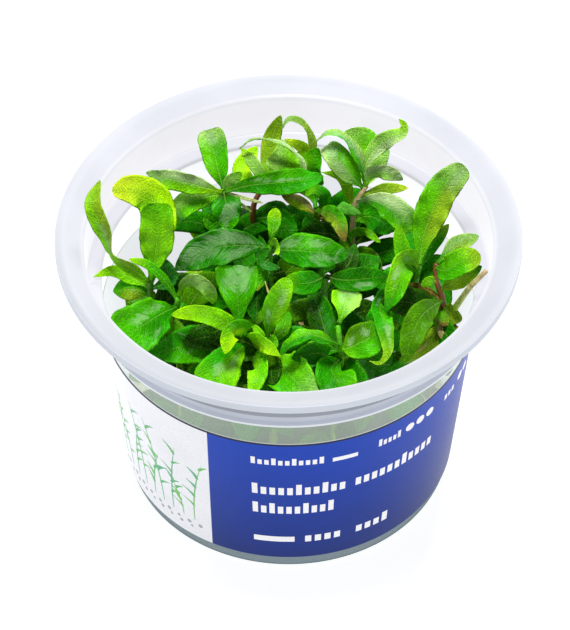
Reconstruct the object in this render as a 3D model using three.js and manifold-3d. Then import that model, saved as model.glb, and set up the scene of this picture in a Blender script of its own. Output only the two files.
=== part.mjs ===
import * as THREE from 'three';
import * as BufferGeometryUtils from 'three/addons/utils/BufferGeometryUtils.js';
import Module from 'manifold-3d';

// Giant hygrophila grown in tissue culture, standing in its open round cup.
// Millimetres, +Z up, origin at the centre of the cup's foot.

// Cup
const RIM_RADIUS = 59;
const RIM_HEIGHT = 80.2;
const RIM_SKIRT = 2.2;
const NECK_RADIUS = 52.6;
const NECK_FOOT_RADIUS = 52.4;
const SHOULDER_HEIGHT = 65.2;
const BODY_TOP_RADIUS = 48.5;
const BODY_FOOT_RADIUS = 42.9;
const WALL = 1;
const FOOT_RECESS = 1;
const CUP_SIDES = 36;

// Label sleeve round the body, and the gel on the cup's floor
const LABEL_BOTTOM = 4.7;
const LABEL_TOP = 54;
const LABEL_THICKNESS = 0.3;
const GEL_TOP = 12;
const FIT_GAP = 0.3;

// Stems and leaves
const STEM_SIDES = 5;
const STEM_RINGS = 8;
const LEAF_SPANS = 8;
const LEAFLET_SPANS = 6;
const RING_CROWDING = 1.35;
const LEAF_THICKNESS = 0.7;
const STALK_THICKNESS = 0.9;
const STALK_WIDTH = 1.3;
const TIP_WIDTH = 0.5;
const FOOT_GAP = 0.7;
const BEND_WINDOW = 0.07;
const BEND_SHARE = 0.75;
const FACING_STEPS = 48;
const FACING_PULL = 0.3;

// Viewpoint that the plants were measured from: it looks down on the cup from the front.
const VIEW_ELEVATION = THREE.MathUtils.degToRad(46.85);
const VIEW_DISTANCE = 852;
const VIEW_CENTRE_HEIGHT = 49.8;
const VIEW_SCALE = 3295;
const VIEW_CENTRE_ACROSS = 288.5;
const VIEW_CENTRE_DOWN = 315;

const VIEW_FORWARD = new THREE.Vector3(0, Math.cos(VIEW_ELEVATION), -Math.sin(VIEW_ELEVATION));
const VIEW_UP = new THREE.Vector3(0, Math.sin(VIEW_ELEVATION), Math.cos(VIEW_ELEVATION));
const VIEW_EYE = new THREE.Vector3(0, 0, VIEW_CENTRE_HEIGHT)
  .addScaledVector(VIEW_FORWARD, -VIEW_DISTANCE);

// The point at a real height that is seen at a place across and down the view
function seen([across, down, height]) {
  const ray = VIEW_FORWARD.clone()
    .addScaledVector(VIEW_UP, (VIEW_CENTRE_DOWN - down) / VIEW_SCALE);
  ray.x += (across - VIEW_CENTRE_ACROSS) / VIEW_SCALE;
  return VIEW_EYE.clone().addScaledVector(ray, (height - VIEW_EYE.z) / ray.z);
}

// Blade outlines: how far along the widest place is, how hollow the foot runs in, and how square and
// how pointed the tip is
const OUTLINES = {
  oval: { widest: 0.52, foot: 1.3, square: 2, point: 0.72 },
  blunt: { widest: 0.64, foot: 1.2, square: 2.4, point: 0.55 },
  square: { widest: 0.6, foot: 1.1, square: 5, point: 0.22 },
  clipped: { widest: 0.58, foot: 1.1, square: 1.7, point: 0.3 },
  lance: { widest: 0.42, foot: 1.2, square: 1.7, point: 0.95 },
  strap: { widest: 0.5, foot: 0.7, square: 2.6, point: 0.6 },
  spoon: { widest: 0.74, foot: 2, square: 2.2, point: 0.55 },
  fan: { widest: 0.88, foot: 1.5, square: 3, point: 0.5 },
  wedge: { widest: 0.92, foot: 2.2, square: 4, point: 0.4 },
};

// Each stem rises from the gel: its foot on the gel in mm, then points of the view with real heights.
// Small leaves listed with a stem have grown as one with it.
const STEMS = {
  rosette_stem: {
    foot: [-14, 17],
    path: [[224, 196, 66], [224, 192, 71]],
    leaflets: {
      small: { outline: 'oval', width: 4, path: [[224, 192, 70], [232, 181, 75], [242, 172, 78]] },
      light: { outline: 'oval', width: 5, path: [[226, 238, 51], [208, 238, 54], [186, 217, 60]] },
      round: { outline: 'oval', width: 5.4, path: [[224, 212, 57], [214, 222, 58], [203, 220, 60]] },
    },
  },
  rear_stem: {
    foot: [-8.6, 25],
    path: [[253, 229, 55], [255, 201, 66], [266, 184, 71]],
    leaflets: {
      lime: { outline: 'oval', width: 5.4, path: [[262, 188, 69], [242, 172, 70], [257, 146, 73]] },
      pale: { outline: 'oval', width: 3.4, path: [[266, 184, 70], [258, 170, 76], [241, 148, 79]] },
      tip: {
        outline: 'oval', width: 5.2,
        path: [[266, 184, 70], [269, 163, 72], [271.5, 140, 76], [281, 115, 82]],
      },
      rear: {
        outline: 'oval', width: 4.4,
        path: [[264, 187, 68], [292, 173, 67], [304, 150, 71], [284, 139, 74]],
      },
      low: { outline: 'oval', width: 7, path: [[254, 214, 59.5], [275, 218, 60], [296, 239, 57]] },
      loop: {
        outline: 'strap', width: 3, turn: [-40, -50, -60], fold: 4,
        path: [
          [266, 184, 71], [306, 164, 72], [312, 140, 77], [302, 123, 81], [289, 119, 83],
          [281, 130, 81],
        ],
      },
    },
  },
  inner_stem: {
    foot: [8, 16],
    path: [[318, 226, 54], [316, 210, 61]],
    leaflets: {
      curled: {
        outline: 'oval', width: 4.2, turn: [0, -45, -50],
        path: [[316, 210, 61], [323, 205, 64], [323, 195, 68.5], [314, 190, 70.5], [304, 196, 68.5]],
      },
      yellow: { outline: 'oval', width: 3.6, path: [[316, 213, 59], [304, 205, 60], [281, 194, 63]] },
      dark: { outline: 'oval', width: 4.6, path: [[317, 214, 58], [310, 225, 59.5], [313, 241, 57]] },
      low: { outline: 'oval', width: 7, path: [[318, 230, 51], [335, 244, 54], [350, 262, 51]] },
    },
  },
  right_rear_stem: {
    foot: [17, 21],
    path: [[353, 222, 60], [355, 204, 66], [366, 186, 71]],
    leaflets: {
      narrow: { outline: 'lance', width: 3, path: [[355, 206, 64], [342, 178, 69], [321, 172, 68]] },
      broad: {
        outline: 'oval', width: 8.4,
        path: [[366, 186, 70], [370, 162, 71], [365, 142, 75], [345, 131, 78]],
      },
      olive: { outline: 'oval', width: 5.2, path: [[366, 186, 70], [372, 170, 71], [389, 149, 74]] },
      low: { outline: 'oval', width: 3, path: [[361, 194, 69], [384, 189, 70], [408, 188, 68]] },
      round: { outline: 'oval', width: 3.4, path: [[353, 214, 62], [338, 207, 66], [361, 214, 68]] },
      arched: {
        outline: 'oval', width: 3,
        path: [[353, 240, 52], [352, 236, 57], [366, 232, 63], [381, 243, 61.5]],
      },
    },
  },
  right_stem: {
    foot: [30, 9],
    path: [[417, 277, 56], [419, 267, 61]],
    leaflets: {
      young: { outline: 'oval', width: 4.6, path: [[418, 272, 58], [405, 258, 65], [397, 224, 72]] },
      behind: { outline: 'oval', width: 7, path: [[418, 270, 58], [413, 232, 60], [399, 200, 64]] },
      olive: { outline: 'oval', width: 4, path: [[419, 268, 60], [431, 246, 62], [449, 224, 66]] },
      low: { outline: 'oval', width: 7, path: [[416, 284, 47], [404, 303, 50], [398, 328, 47]] },
    },
  },
  right_front_stem: {
    foot: [37, -8],
    path: [[443, 301, 57], [436, 280, 62], [436, 264, 66]],
    leaflets: {
      bright: { outline: 'oval', width: 2.6, path: [[437, 280, 61], [430, 281, 64], [421, 286, 62]] },
      under: { outline: 'oval', width: 5, path: [[442, 290, 59], [459, 279, 65.5], [482, 266, 70]] },
      brown: { outline: 'strap', width: 1.6, path: [[442, 300, 57], [424, 288, 59], [409, 284, 58]] },
      low: { outline: 'lance', width: 6, path: [[443, 312, 49], [428, 342, 50], [396, 366, 47]] },
    },
  },
  centre_stem: {
    foot: [9, -3],
    path: [[325, 283, 62], [325, 276, 65]],
    leaflets: {
      behind: { outline: 'oval', width: 4.4, path: [[325, 279, 63], [346, 267, 64], [356, 244, 64]] },
      low: { outline: 'oval', width: 8, path: [[325, 284, 58], [352, 274, 59], [380, 258, 58]] },
    },
  },
  middle_stem: {
    foot: [-4, 6],
    path: [[270, 258, 62], [270, 245, 67]],
    leaflets: {
      upper_spoon: { outline: 'spoon', width: 3.6, path: [[270, 246, 67], [272, 234, 71], [276, 208, 75]] },
      lower_spoon: { outline: 'oval', width: 3, path: [[270, 246, 67], [276, 243, 71], [278, 255, 73]] },
      grey: { outline: 'oval', width: 2.4, path: [[270, 256, 62], [264, 265, 63], [280, 268, 64]] },
      olive: { outline: 'oval', width: 2.6, path: [[270, 257, 61], [264, 276, 59], [256, 291, 57]] },
      low_left: { outline: 'oval', width: 7, path: [[270, 262, 56], [259, 288, 53], [256, 322, 48]] },
      low_right: { outline: 'oval', width: 6, path: [[270, 262, 56], [300, 267, 55], [336, 266, 52]] },
    },
  },
  front_centre_stem: {
    foot: [-4, -13],
    path: [[268, 350, 53], [267, 339, 58]],
    leaflets: {
      bud: { outline: 'oval', width: 2, path: [[267, 342, 57], [259, 332, 59], [251, 324, 60]] },
      second: { outline: 'oval', width: 3.8, path: [[267, 341, 57], [279, 334, 59], [289, 312, 60]] },
      small: { outline: 'oval', width: 2.2, path: [[267, 340, 57], [274, 340, 60], [276, 349, 60]] },
    },
  },
  front_left_stem: {
    foot: [-11, -14],
    path: [[247, 346, 53], [246, 335, 58]],
    leaflets: {
      middle: {
        outline: 'oval', width: 5.6,
        path: [[248, 350, 50], [260, 361, 55], [256, 380, 56], [250, 400, 53]],
      },
      curl_right: {
        outline: 'lance', width: 5.8, turn: [-30, 0, 0],
        path: [[247, 344, 53], [256, 341, 58], [266, 346, 61], [281, 357, 59]],
      },
    },
  },
  left_stem: {
    foot: [-28, -9],
    path: [[177, 308, 58], [178, 298, 62]],
    leaflets: {
      narrow: {
        outline: 'strap', width: 2.4,
        path: [[178, 299, 61], [163, 278, 68], [148, 265, 71], [129, 259, 70]],
      },
      low_rear: { outline: 'oval', width: 8, path: [[178, 310, 56], [190, 291, 57], [200, 268, 58]] },
      low_right: { outline: 'oval', width: 7, path: [[178, 312, 55], [205, 303, 55], [235, 300, 54]] },
    },
  },
  left_rear_stem: {
    foot: [-33, -4],
    path: [[150, 296, 60], [149, 282, 65]],
    leaflets: {
      under: { outline: 'oval', width: 6, path: [[150, 292, 61], [134, 289, 63], [113, 291, 62]] },
      blue: { outline: 'oval', width: 4.6, path: [[150, 290, 62], [168, 280, 63], [163, 258, 64]] },
      pointed: {
        outline: 'lance', width: 3.8,
        path: [[149, 288, 63], [134, 279, 65], [113, 271, 67.5], [93, 277, 67]],
      },
    },
  },
  front_stem: {
    foot: [12, -18],
    path: [[341, 356, 54], [340, 346, 59], [338, 326, 64]],
    leaflets: {
      under: { outline: 'oval', width: 3.6, path: [[340, 350, 57], [320, 349, 56], [307, 343, 55]] },
      low_left: { outline: 'oval', width: 8, path: [[341, 360, 51], [320, 356, 52], [292, 350, 50]] },
      low_right: { outline: 'oval', width: 7, path: [[341, 362, 50], [354, 371, 50], [376, 372, 47]] },
    },
  },
};

// Each separate leaf: the stem that carries it, its colour, its outline, its real width in mm, how far
// the blade turns from facing the view at its foot, middle and tip, how far its halves fold up, and
// its midrib as points of the view with real heights, from foot to tip
const LEAVES = {
  rosette_leaf_upright: {
    stem: 'rosette_stem', tint: 'mid', outline: 'square', width: 7.2, turn: [0, 5, 10], fold: 8,
    path: [[223, 189, 72], [217, 164, 76], [210, 129, 81]],
  },
  rosette_leaf_left: {
    stem: 'rosette_stem', tint: 'greyed', outline: 'oval', width: 5.8, turn: [10, 20, 30], fold: 12,
    path: [[224, 192, 71], [207, 188, 74], [189, 183, 76], [168, 178.5, 77], [146, 172.5, 76]],
  },
  rosette_leaf_lower_left: {
    stem: 'rosette_stem', tint: 'bluish', outline: 'oval', width: 6.2, turn: [0, 0, 0], fold: 12,
    path: [[224, 194, 67], [205, 197, 70], [187, 203, 70], [177, 214, 66.5], [175, 230, 61.5]],
  },
  rosette_leaf_front: {
    stem: 'rosette_stem', tint: 'bluish', outline: 'oval', width: 8, turn: [0, 0, 0], fold: 8,
    path: [[224, 193, 70], [226, 205, 72], [229, 230, 66]],
  },
  rosette_leaf_long_right: {
    stem: 'rosette_stem', tint: 'deep', outline: 'blunt', width: 6.6, turn: [10, -15, 40], fold: 10,
    path: [[224, 192, 71], [250, 185, 77], [283, 182, 79], [306, 180, 78.5], [323, 176, 78]],
  },
  left_rear_leaf_lime: {
    stem: 'left_rear_stem', tint: 'lime', outline: 'blunt', width: 9.4, turn: [0, 0, 0, 0], fold: 6,
    path: [
      [150, 290, 61], [154, 264, 65], [157, 240, 69], [159, 217, 73], [153, 199, 76], [135, 190, 79],
      [112, 190, 78],
    ],
  },
  rear_leaf_pale: {
    stem: 'rear_stem', tint: 'pale', outline: 'lance', width: 9, turn: [0, 0, 0], fold: 10,
    path: [[266, 184, 71], [279, 174, 74], [284, 157, 77], [281, 139, 80]],
  },
  rear_leaf_arched: {
    stem: 'rear_stem', tint: 'olive', outline: 'oval', width: 2.8, turn: [-70, -72, -75], fold: 6,
    path: [
      [261, 191, 68], [283, 189, 69.5], [301, 180, 74.5], [302, 162, 79], [290, 149, 82],
      [271, 140, 84], [251, 140, 83.5], [239, 149, 81],
    ],
  },
  inner_leaf_dark: {
    stem: 'inner_stem', tint: 'deep', outline: 'oval', width: 8.2, turn: [0, 10, 20], fold: 14,
    path: [[316, 210, 61], [314, 197, 62.5], [309, 180, 68], [311, 165, 74], [319, 148, 79]],
  },
  inner_leaf_brown_tip: {
    stem: 'inner_stem', tint: 'olive', outline: 'oval', width: 4.8, turn: [0, 0, 0], fold: 6,
    path: [[320, 211, 62.3], [328, 212.5, 65.2], [338, 219.5, 68], [345, 242, 66]],
  },
  right_rear_leaf_curled_tip: {
    stem: 'right_rear_stem', tint: 'olive', outline: 'oval', width: 4.6, turn: [0, 0, 40], fold: 8,
    path: [
      [366, 186, 71], [366, 164, 75], [378, 146, 79], [391, 138, 82.5], [402, 133, 84.5],
      [405, 126.5, 86.3], [399, 118.5, 87.2],
    ],
  },
  right_rear_leaf_arched: {
    stem: 'right_rear_stem', tint: 'greyed', outline: 'oval', width: 4, turn: [-30, -50, -70], fold: 6,
    path: [[366, 186, 71], [359, 158, 80], [347, 139, 84], [328, 133, 84.5], [315, 142, 82]],
  },
  right_rear_leaf_glossy: {
    stem: 'right_rear_stem', tint: 'deep', outline: 'oval', width: 7, turn: [0, 0, -30], fold: 8,
    path: [[361, 190, 70.5], [353, 177, 74.5], [341, 162, 78], [329, 150, 79.5], [321, 149, 77.5]],
  },
  right_rear_leaf_grey: {
    stem: 'right_rear_stem', tint: 'greyed', outline: 'oval', width: 4.6, turn: [0, -20, -20], fold: 10,
    path: [[366, 188, 70], [372, 173, 76], [387, 172, 78], [403, 180, 75]],
  },
  right_rear_leaf_drooping: {
    stem: 'right_rear_stem', tint: 'greyed', outline: 'spoon', width: 7, turn: [-40, 0, 0], fold: 8,
    path: [[356, 202, 67], [372, 200, 73], [388, 206, 75], [401, 217, 73], [410, 233, 69]],
  },
  right_rear_leaf_dark: {
    stem: 'right_rear_stem', tint: 'dark', outline: 'oval', width: 9, turn: [0, 0, 0], fold: 6,
    path: [[353, 222, 60], [366, 216, 62.5], [380, 220, 61.5], [391, 233, 57]],
  },
  right_leaf_tall: {
    stem: 'right_stem', tint: 'mid', outline: 'clipped', width: 9, turn: [0, 0, 10], fold: 12,
    path: [
      [419, 267, 61], [423, 238, 68], [428, 221, 72], [435, 204, 76], [443, 189, 79.5],
      [454, 178, 82.5], [466, 167, 85.5],
    ],
  },
  right_leaf_wavy: {
    stem: 'right_stem', tint: 'pale', outline: 'oval', width: 7, turn: [0, 0, 30], fold: 8,
    path: [[419, 270, 60], [411, 257, 69], [404, 258, 72], [397, 284, 70], [385, 312, 65]],
  },
  right_leaf_hooked: {
    stem: 'right_stem', tint: 'fresh', outline: 'lance', width: 6.2, turn: [40, 0, -40], fold: 10,
    path: [
      [414, 283, 52], [396, 290, 57], [380, 305, 60], [386, 332, 64], [388, 352, 63], [380, 363, 61],
      [369, 361, 60],
    ],
  },
  right_front_leaf_upper: {
    stem: 'right_front_stem', tint: 'olive', outline: 'oval', width: 4.8, turn: [0, 10, 10], fold: 8,
    path: [[436, 266, 66], [448, 254, 69], [461, 243, 71], [479, 236, 72]],
  },
  right_front_leaf_round: {
    stem: 'right_front_stem', tint: 'bright', outline: 'blunt', width: 7, turn: [0, 0, 0], fold: 8,
    path: [[436, 268, 65], [446, 270, 70], [462, 261, 73], [481, 257, 73]],
  },
  right_front_leaf_pointed: {
    stem: 'right_front_stem', tint: 'mid', outline: 'oval', width: 7.2, turn: [0, 0, 0], fold: 12,
    path: [[443, 302, 57], [433, 306, 60], [420, 318, 62], [411, 338, 60], [405, 363, 55]],
  },
  right_front_leaf_low: {
    stem: 'right_front_stem', tint: 'olive', outline: 'oval', width: 8.6, turn: [0, 0, 0], fold: 6,
    path: [[443, 302, 55], [446, 309, 56], [443, 326, 54]],
  },
  centre_leaf_left: {
    stem: 'centre_stem', tint: 'fresh', outline: 'oval', width: 6.4, turn: [0, 0, 10], fold: 8,
    path: [[325, 276, 65], [307, 283, 68], [283, 281, 67]],
  },
  centre_leaf_right: {
    stem: 'centre_stem', tint: 'deep', outline: 'oval', width: 6.6, turn: [0, 0, 0], fold: 10,
    path: [[325, 276, 65], [345, 280, 67.5], [388, 276, 66]],
  },
  middle_leaf_dark: {
    stem: 'middle_stem', tint: 'dark', outline: 'oval', width: 9.6, turn: [0, 10, 20], fold: 6,
    path: [[270, 248, 66], [240, 245, 71], [208, 250, 71], [175, 270, 65]],
  },
  middle_leaf_oval: {
    stem: 'middle_stem', tint: 'mid', outline: 'oval', width: 9.2, turn: [0, 0, 0], fold: 6,
    path: [[270, 250, 65], [292, 250, 70], [320, 252, 72], [348, 256, 69]],
  },
  front_centre_leaf_upright: {
    stem: 'front_centre_stem', tint: 'bright', outline: 'blunt', width: 6.2, turn: [0, 0, 0], fold: 8,
    path: [[267, 337, 59], [271, 318, 66], [278, 301, 71], [284, 288, 74.5], [289, 278, 76]],
  },
  front_left_leaf_folded: {
    stem: 'front_left_stem', tint: 'greyed', outline: 'wedge', width: 11.8, turn: [0, 0, 0], fold: 20,
    path: [[246, 337, 57], [240, 323, 62], [238, 300, 68], [237, 265, 74]],
  },
  front_left_leaf_long: {
    stem: 'front_left_stem', tint: 'lime', outline: 'oval', width: 5, turn: [-20, 0, 0], fold: 8,
    path: [[246, 340, 56], [231, 326, 64], [214, 317, 68], [192, 313, 68.5], [171, 315, 66]],
  },
  front_left_leaf_curl_left: {
    stem: 'front_left_stem', tint: 'lime', outline: 'oval', width: 6.2, turn: [-30, 0, 0], fold: 6,
    path: [[247, 335, 58], [243, 328, 65.5], [231, 333, 68.3], [225, 354, 65]],
  },
  front_left_leaf_front: {
    stem: 'front_left_stem', tint: 'mid', outline: 'fan', width: 11, turn: [0, 0, 0], fold: 10,
    path: [[247, 344, 54], [238, 350, 58], [225, 364, 59.5], [209, 390, 56.5]],
  },
  front_centre_leaf_corner: {
    stem: 'front_centre_stem', tint: 'mid', outline: 'oval', width: 11.2, turn: [0, 0, 0], fold: 10,
    path: [[268, 353, 51], [280, 366, 54], [297, 382, 56], [318, 404, 52.5]],
  },
  left_leaf_arched: {
    stem: 'left_stem', tint: 'greyed', outline: 'oval', width: 5.2, turn: [-30, -30, -30], fold: 6,
    path: [[178, 298, 62], [184, 284, 67], [197, 282, 70], [208, 289, 69], [213, 304, 64]],
  },
  left_leaf_broad: {
    stem: 'left_stem', tint: 'mid', outline: 'fan', width: 13.4, turn: [0, 0, 0], fold: 8,
    path: [[177, 306, 59], [162, 313, 66], [143, 325, 70], [118, 341, 69.5]],
  },
  front_left_leaf_dark: {
    stem: 'front_left_stem', tint: 'deep', outline: 'oval', width: 9.8, turn: [0, 0, 0], fold: 8,
    path: [[247, 352, 49], [223, 343, 53], [197, 344, 56], [172, 349, 57.5], [149, 356, 57]],
  },
  left_rear_leaf_strap: {
    stem: 'left_rear_stem', tint: 'olive', outline: 'strap', width: 5,
    turn: [0, 20, 85, 30, 10, 50], fold: 10,
    path: [
      [150, 284, 65], [131, 268, 72], [112, 254, 76], [107, 238, 79], [99, 221, 83], [93, 204, 86.6],
      [100, 180, 88.4],
    ],
  },
  left_rear_leaf_upright: {
    stem: 'left_rear_stem', tint: 'bright', outline: 'square', width: 8.8, turn: [0, 0, 0], fold: 10,
    path: [[149, 282, 65], [154, 262, 70], [157, 234, 78], [157, 203, 84.5]],
  },
  front_leaf_arched: {
    stem: 'front_stem', tint: 'bright', outline: 'oval', width: 5, turn: [-40, -55, -40], fold: 6,
    path: [[340, 346, 59], [327, 340, 63.5], [309, 335, 66], [292, 341, 65.5], [280, 355, 61]],
  },
  front_leaf_light: {
    stem: 'front_stem', tint: 'pale', outline: 'oval', width: 9.6, turn: [0, 0, 0], fold: 12,
    path: [[340, 347, 58], [350, 347, 60.5], [365, 340, 62], [381, 331, 60]],
  },
  front_leaf_front: {
    stem: 'front_stem', tint: 'fresh', outline: 'oval', width: 10.4, turn: [0, 0, 0], fold: 12,
    path: [[340, 357, 53], [331, 369, 55.5], [338, 382, 56], [350, 406, 52]],
  },
  front_leaf_dark: {
    stem: 'front_stem', tint: 'deep', outline: 'oval', width: 7, turn: [0, 0, 0], fold: 8,
    path: [[340, 352, 56], [326, 332, 57], [318, 306, 60], [311, 290, 60]],
  },
  front_leaf_bright: {
    stem: 'front_stem', tint: 'pale', outline: 'oval', width: 7.8, turn: [0, 0, 0], fold: 6,
    path: [[338, 327, 64], [342, 315, 66.5], [346, 300, 66], [351, 284, 63.5]],
  },
};

// Bare end of a cut stem, leaning on the wall
const CUT_STEM = [[455, 308, 58.5], [462, 298, 64.5], [471, 286, 70], [486, 271, 75]];

const STEM_RADIUS = { foot: 1.2, top: 0.7 };
const CUT_STEM_RADIUS = { foot: 0.85, top: 0.65 };

function stemRadius(t, radii = STEM_RADIUS) {
  return THREE.MathUtils.lerp(radii.foot, radii.top, t);
}

function curveThrough(points) {
  return new THREE.CatmullRomCurve3(points, false, 'centripetal');
}

// Share of the full width at a share of the length
function outlineAt(outline, t) {
  const { widest, foot, square, point } = OUTLINES[outline];
  if (t < widest) return Math.sin(Math.PI / 2 * t / widest) ** foot;
  return (1 - ((t - widest) / (1 - widest)) ** square) ** point;
}

function valueAlong(values, t) {
  if (!Array.isArray(values)) return values;
  const place = t * (values.length - 1);
  const before = Math.min(Math.floor(place), values.length - 2);
  return THREE.MathUtils.lerp(values[before], values[before + 1], place - before);
}

// Which way the blade faces at each step of its length: towards the view, yet never turning over
// where it points at the view
function facingsOf(curve) {
  const facings = [];
  for (let i = 0; i <= FACING_STEPS; i += 1) {
    const place = curve.getPointAt(i / FACING_STEPS);
    const along = curve.getTangentAt(i / FACING_STEPS);
    const wanted = VIEW_EYE.clone().sub(place).normalize();
    wanted.addScaledVector(along, -wanted.dot(along));
    const pull = FACING_PULL * wanted.lengthSq();
    wanted.normalize();
    if (i === 0) {
      facings.push(wanted);
      continue;
    }
    const carried = facings[i - 1].clone();
    carried.addScaledVector(along, -carried.dot(along)).normalize();
    if (carried.dot(wanted) < 0) wanted.negate();
    facings.push(carried.lerp(wanted, pull).normalize());
  }
  return facings;
}

// How far a side may reach before it would cross its neighbours on the inside of a bend
function inwardLimit(curve, t, side) {
  const before = Math.max(t - BEND_WINDOW, 0);
  const after = Math.min(t + BEND_WINDOW, 1);
  const change = curve.getTangentAt(after).sub(curve.getTangentAt(before));
  const inward = change.dot(side) / ((after - before) * curve.getLength());
  return inward > 0.01 ? BEND_SHARE / inward : Infinity;
}

// A ring is the four corners of one cross-section, and the blade closes on a tip point
function bladeGeometry(curve, leaf, spans) {
  const facings = facingsOf(curve);
  const corners = [];
  for (let i = 0; i < spans; i += 1) {
    const t = 1 - (1 - i / spans) ** RING_CROWDING;
    const place = curve.getPointAt(t);
    const along = curve.getTangentAt(t);
    const facing = facings[Math.round(t * FACING_STEPS)];
    const across = facing.clone().cross(along).normalize();
    const turn = THREE.MathUtils.degToRad(valueAlong(leaf.turn ?? 0, t));
    const out = facing.clone().multiplyScalar(Math.cos(turn)).addScaledVector(across, Math.sin(turn));
    const side = across.clone().multiplyScalar(Math.cos(turn)).addScaledVector(facing, -Math.sin(turn));
    const half = Math.max(leaf.width * outlineAt(leaf.outline, t), STALK_WIDTH * (1 - t)) / 2;
    const fold = THREE.MathUtils.degToRad(valueAlong(leaf.fold ?? 6, t));
    const reach = Math.max(half, TIP_WIDTH / 2);
    const right = Math.min(reach, inwardLimit(curve, t, side));
    const left = Math.min(reach, inwardLimit(curve, t, side.clone().negate()));
    const thick = THREE.MathUtils.lerp(STALK_THICKNESS, LEAF_THICKNESS, t) / 2;
    corners.push(
      place.clone().addScaledVector(side, -left * Math.cos(fold)).addScaledVector(out, left * Math.sin(fold)),
      place.clone().addScaledVector(out, -thick),
      place.clone().addScaledVector(side, right * Math.cos(fold)).addScaledVector(out, right * Math.sin(fold)),
      place.clone().addScaledVector(out, thick),
    );
  }
  return closedGeometry(corners, 4, curve.getPointAt(1));
}

function stemGeometry(curve, radii) {
  const corners = [];
  const sideways = new THREE.Vector3(1, 0, 0);
  for (let i = 0; i < STEM_RINGS; i += 1) {
    const t = i / (STEM_RINGS - 1);
    const place = curve.getPointAt(t);
    const along = curve.getTangentAt(t);
    const first = sideways.clone().addScaledVector(along, -sideways.dot(along)).normalize();
    const second = along.clone().cross(first);
    for (let k = 0; k < STEM_SIDES; k += 1) {
      const angle = 2 * Math.PI * k / STEM_SIDES;
      corners.push(place.clone()
        .addScaledVector(first, stemRadius(t, radii) * Math.cos(angle))
        .addScaledVector(second, stemRadius(t, radii) * Math.sin(angle)));
    }
  }
  const crown = curve.getPointAt(1).addScaledVector(curve.getTangentAt(1), stemRadius(1, radii) / 2);
  return closedGeometry(corners, STEM_SIDES, crown);
}

// Joins rings of corners into a closed skin with a flat start and a pointed end. The upper and lower
// skins of a blade, whose rings have four corners, are split along the same diagonals.
function closedGeometry(corners, perRing, tip) {
  const faces = [];
  const rings = corners.length / perRing;
  for (let k = 1; k < perRing - 1; k += 1) {
    faces.push(0, k + 1, k);
  }
  for (let ring = 0; ring < rings - 1; ring += 1) {
    for (let k = 0; k < perRing; k += 1) {
      const a = ring * perRing + k;
      const b = ring * perRing + (k + 1) % perRing;
      if (perRing === 4 && k % 2 === 1) {
        faces.push(a, b, a + perRing, b, b + perRing, a + perRing);
      } else {
        faces.push(a, b, b + perRing, a, b + perRing, a + perRing);
      }
    }
  }
  const last = (rings - 1) * perRing;
  for (let k = 0; k < perRing; k += 1) {
    faces.push(last + k, last + (k + 1) % perRing, corners.length);
  }
  const geometry = new THREE.BufferGeometry().setFromPoints([...corners, tip]);
  geometry.setIndex(faces);
  return geometry;
}

const wasm = await Module();
wasm.setup();

function toSolid(geometry) {
  const bare = new THREE.BufferGeometry();
  bare.setAttribute('position', geometry.getAttribute('position').clone());
  bare.setIndex(geometry.getIndex().clone());
  const merged = BufferGeometryUtils.mergeVertices(bare, 1e-4);
  return new wasm.Manifold(new wasm.Mesh({
    numProp: 3,
    vertProperties: new Float32Array(merged.getAttribute('position').array),
    triVerts: new Uint32Array(merged.getIndex().array),
  }));
}

function joined(geometries) {
  const solids = geometries.map(toSolid);
  let whole = solids[0];
  for (const solid of solids.slice(1)) {
    whole = whole.add(solid);
  }
  const mesh = whole.getMesh();
  const geometry = new THREE.BufferGeometry();
  geometry.setAttribute('position', new THREE.BufferAttribute(new Float32Array(mesh.vertProperties), 3));
  geometry.setIndex(new THREE.BufferAttribute(new Uint32Array(mesh.triVerts), 1));
  return geometry;
}

function lathe(profile) {
  const points = profile.map(([radius, height]) => new THREE.Vector2(radius, height));
  const geometry = new THREE.LatheGeometry(points, CUP_SIDES);
  geometry.rotateX(Math.PI / 2);
  return geometry;
}

function wallRadius(height) {
  const share = (height - 1) / (SHOULDER_HEIGHT - 1);
  return THREE.MathUtils.lerp(BODY_FOOT_RADIUS, BODY_TOP_RADIUS, share);
}

function cupGeometry() {
  const skirtBottom = RIM_HEIGHT - RIM_SKIRT;
  const neckTop = RIM_HEIGHT - 1.8;
  const floorTop = FOOT_RECESS + WALL;
  return lathe([
    [0, FOOT_RECESS],
    [BODY_FOOT_RADIUS - 6, FOOT_RECESS],
    [BODY_FOOT_RADIUS - 5, 0],
    [BODY_FOOT_RADIUS - 0.9, 0],
    [BODY_FOOT_RADIUS, 1],
    [BODY_TOP_RADIUS, SHOULDER_HEIGHT - 0.5],
    [BODY_TOP_RADIUS + 0.4, SHOULDER_HEIGHT - 0.1],
    [NECK_FOOT_RADIUS - 0.4, SHOULDER_HEIGHT],
    [NECK_FOOT_RADIUS, SHOULDER_HEIGHT + 0.5],
    [NECK_RADIUS, skirtBottom - 0.9],
    [NECK_RADIUS + 0.6, skirtBottom - 0.6],
    [RIM_RADIUS - WALL, RIM_HEIGHT - 1.2],
    [RIM_RADIUS - WALL, skirtBottom],
    [RIM_RADIUS, skirtBottom],
    [RIM_RADIUS, RIM_HEIGHT - 0.3],
    [RIM_RADIUS - 0.5, RIM_HEIGHT],
    [NECK_RADIUS + 0.3, neckTop + 0.1],
    [NECK_RADIUS - WALL, neckTop - 0.8],
    [NECK_FOOT_RADIUS - WALL, SHOULDER_HEIGHT + 1],
    [BODY_TOP_RADIUS - 0.5, SHOULDER_HEIGHT + 0.7],
    [BODY_TOP_RADIUS - WALL, SHOULDER_HEIGHT - 0.2],
    [BODY_FOOT_RADIUS - WALL, floorTop + 0.8],
    [BODY_FOOT_RADIUS - WALL - 0.8, floorTop],
    [0, floorTop],
  ]);
}

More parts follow.
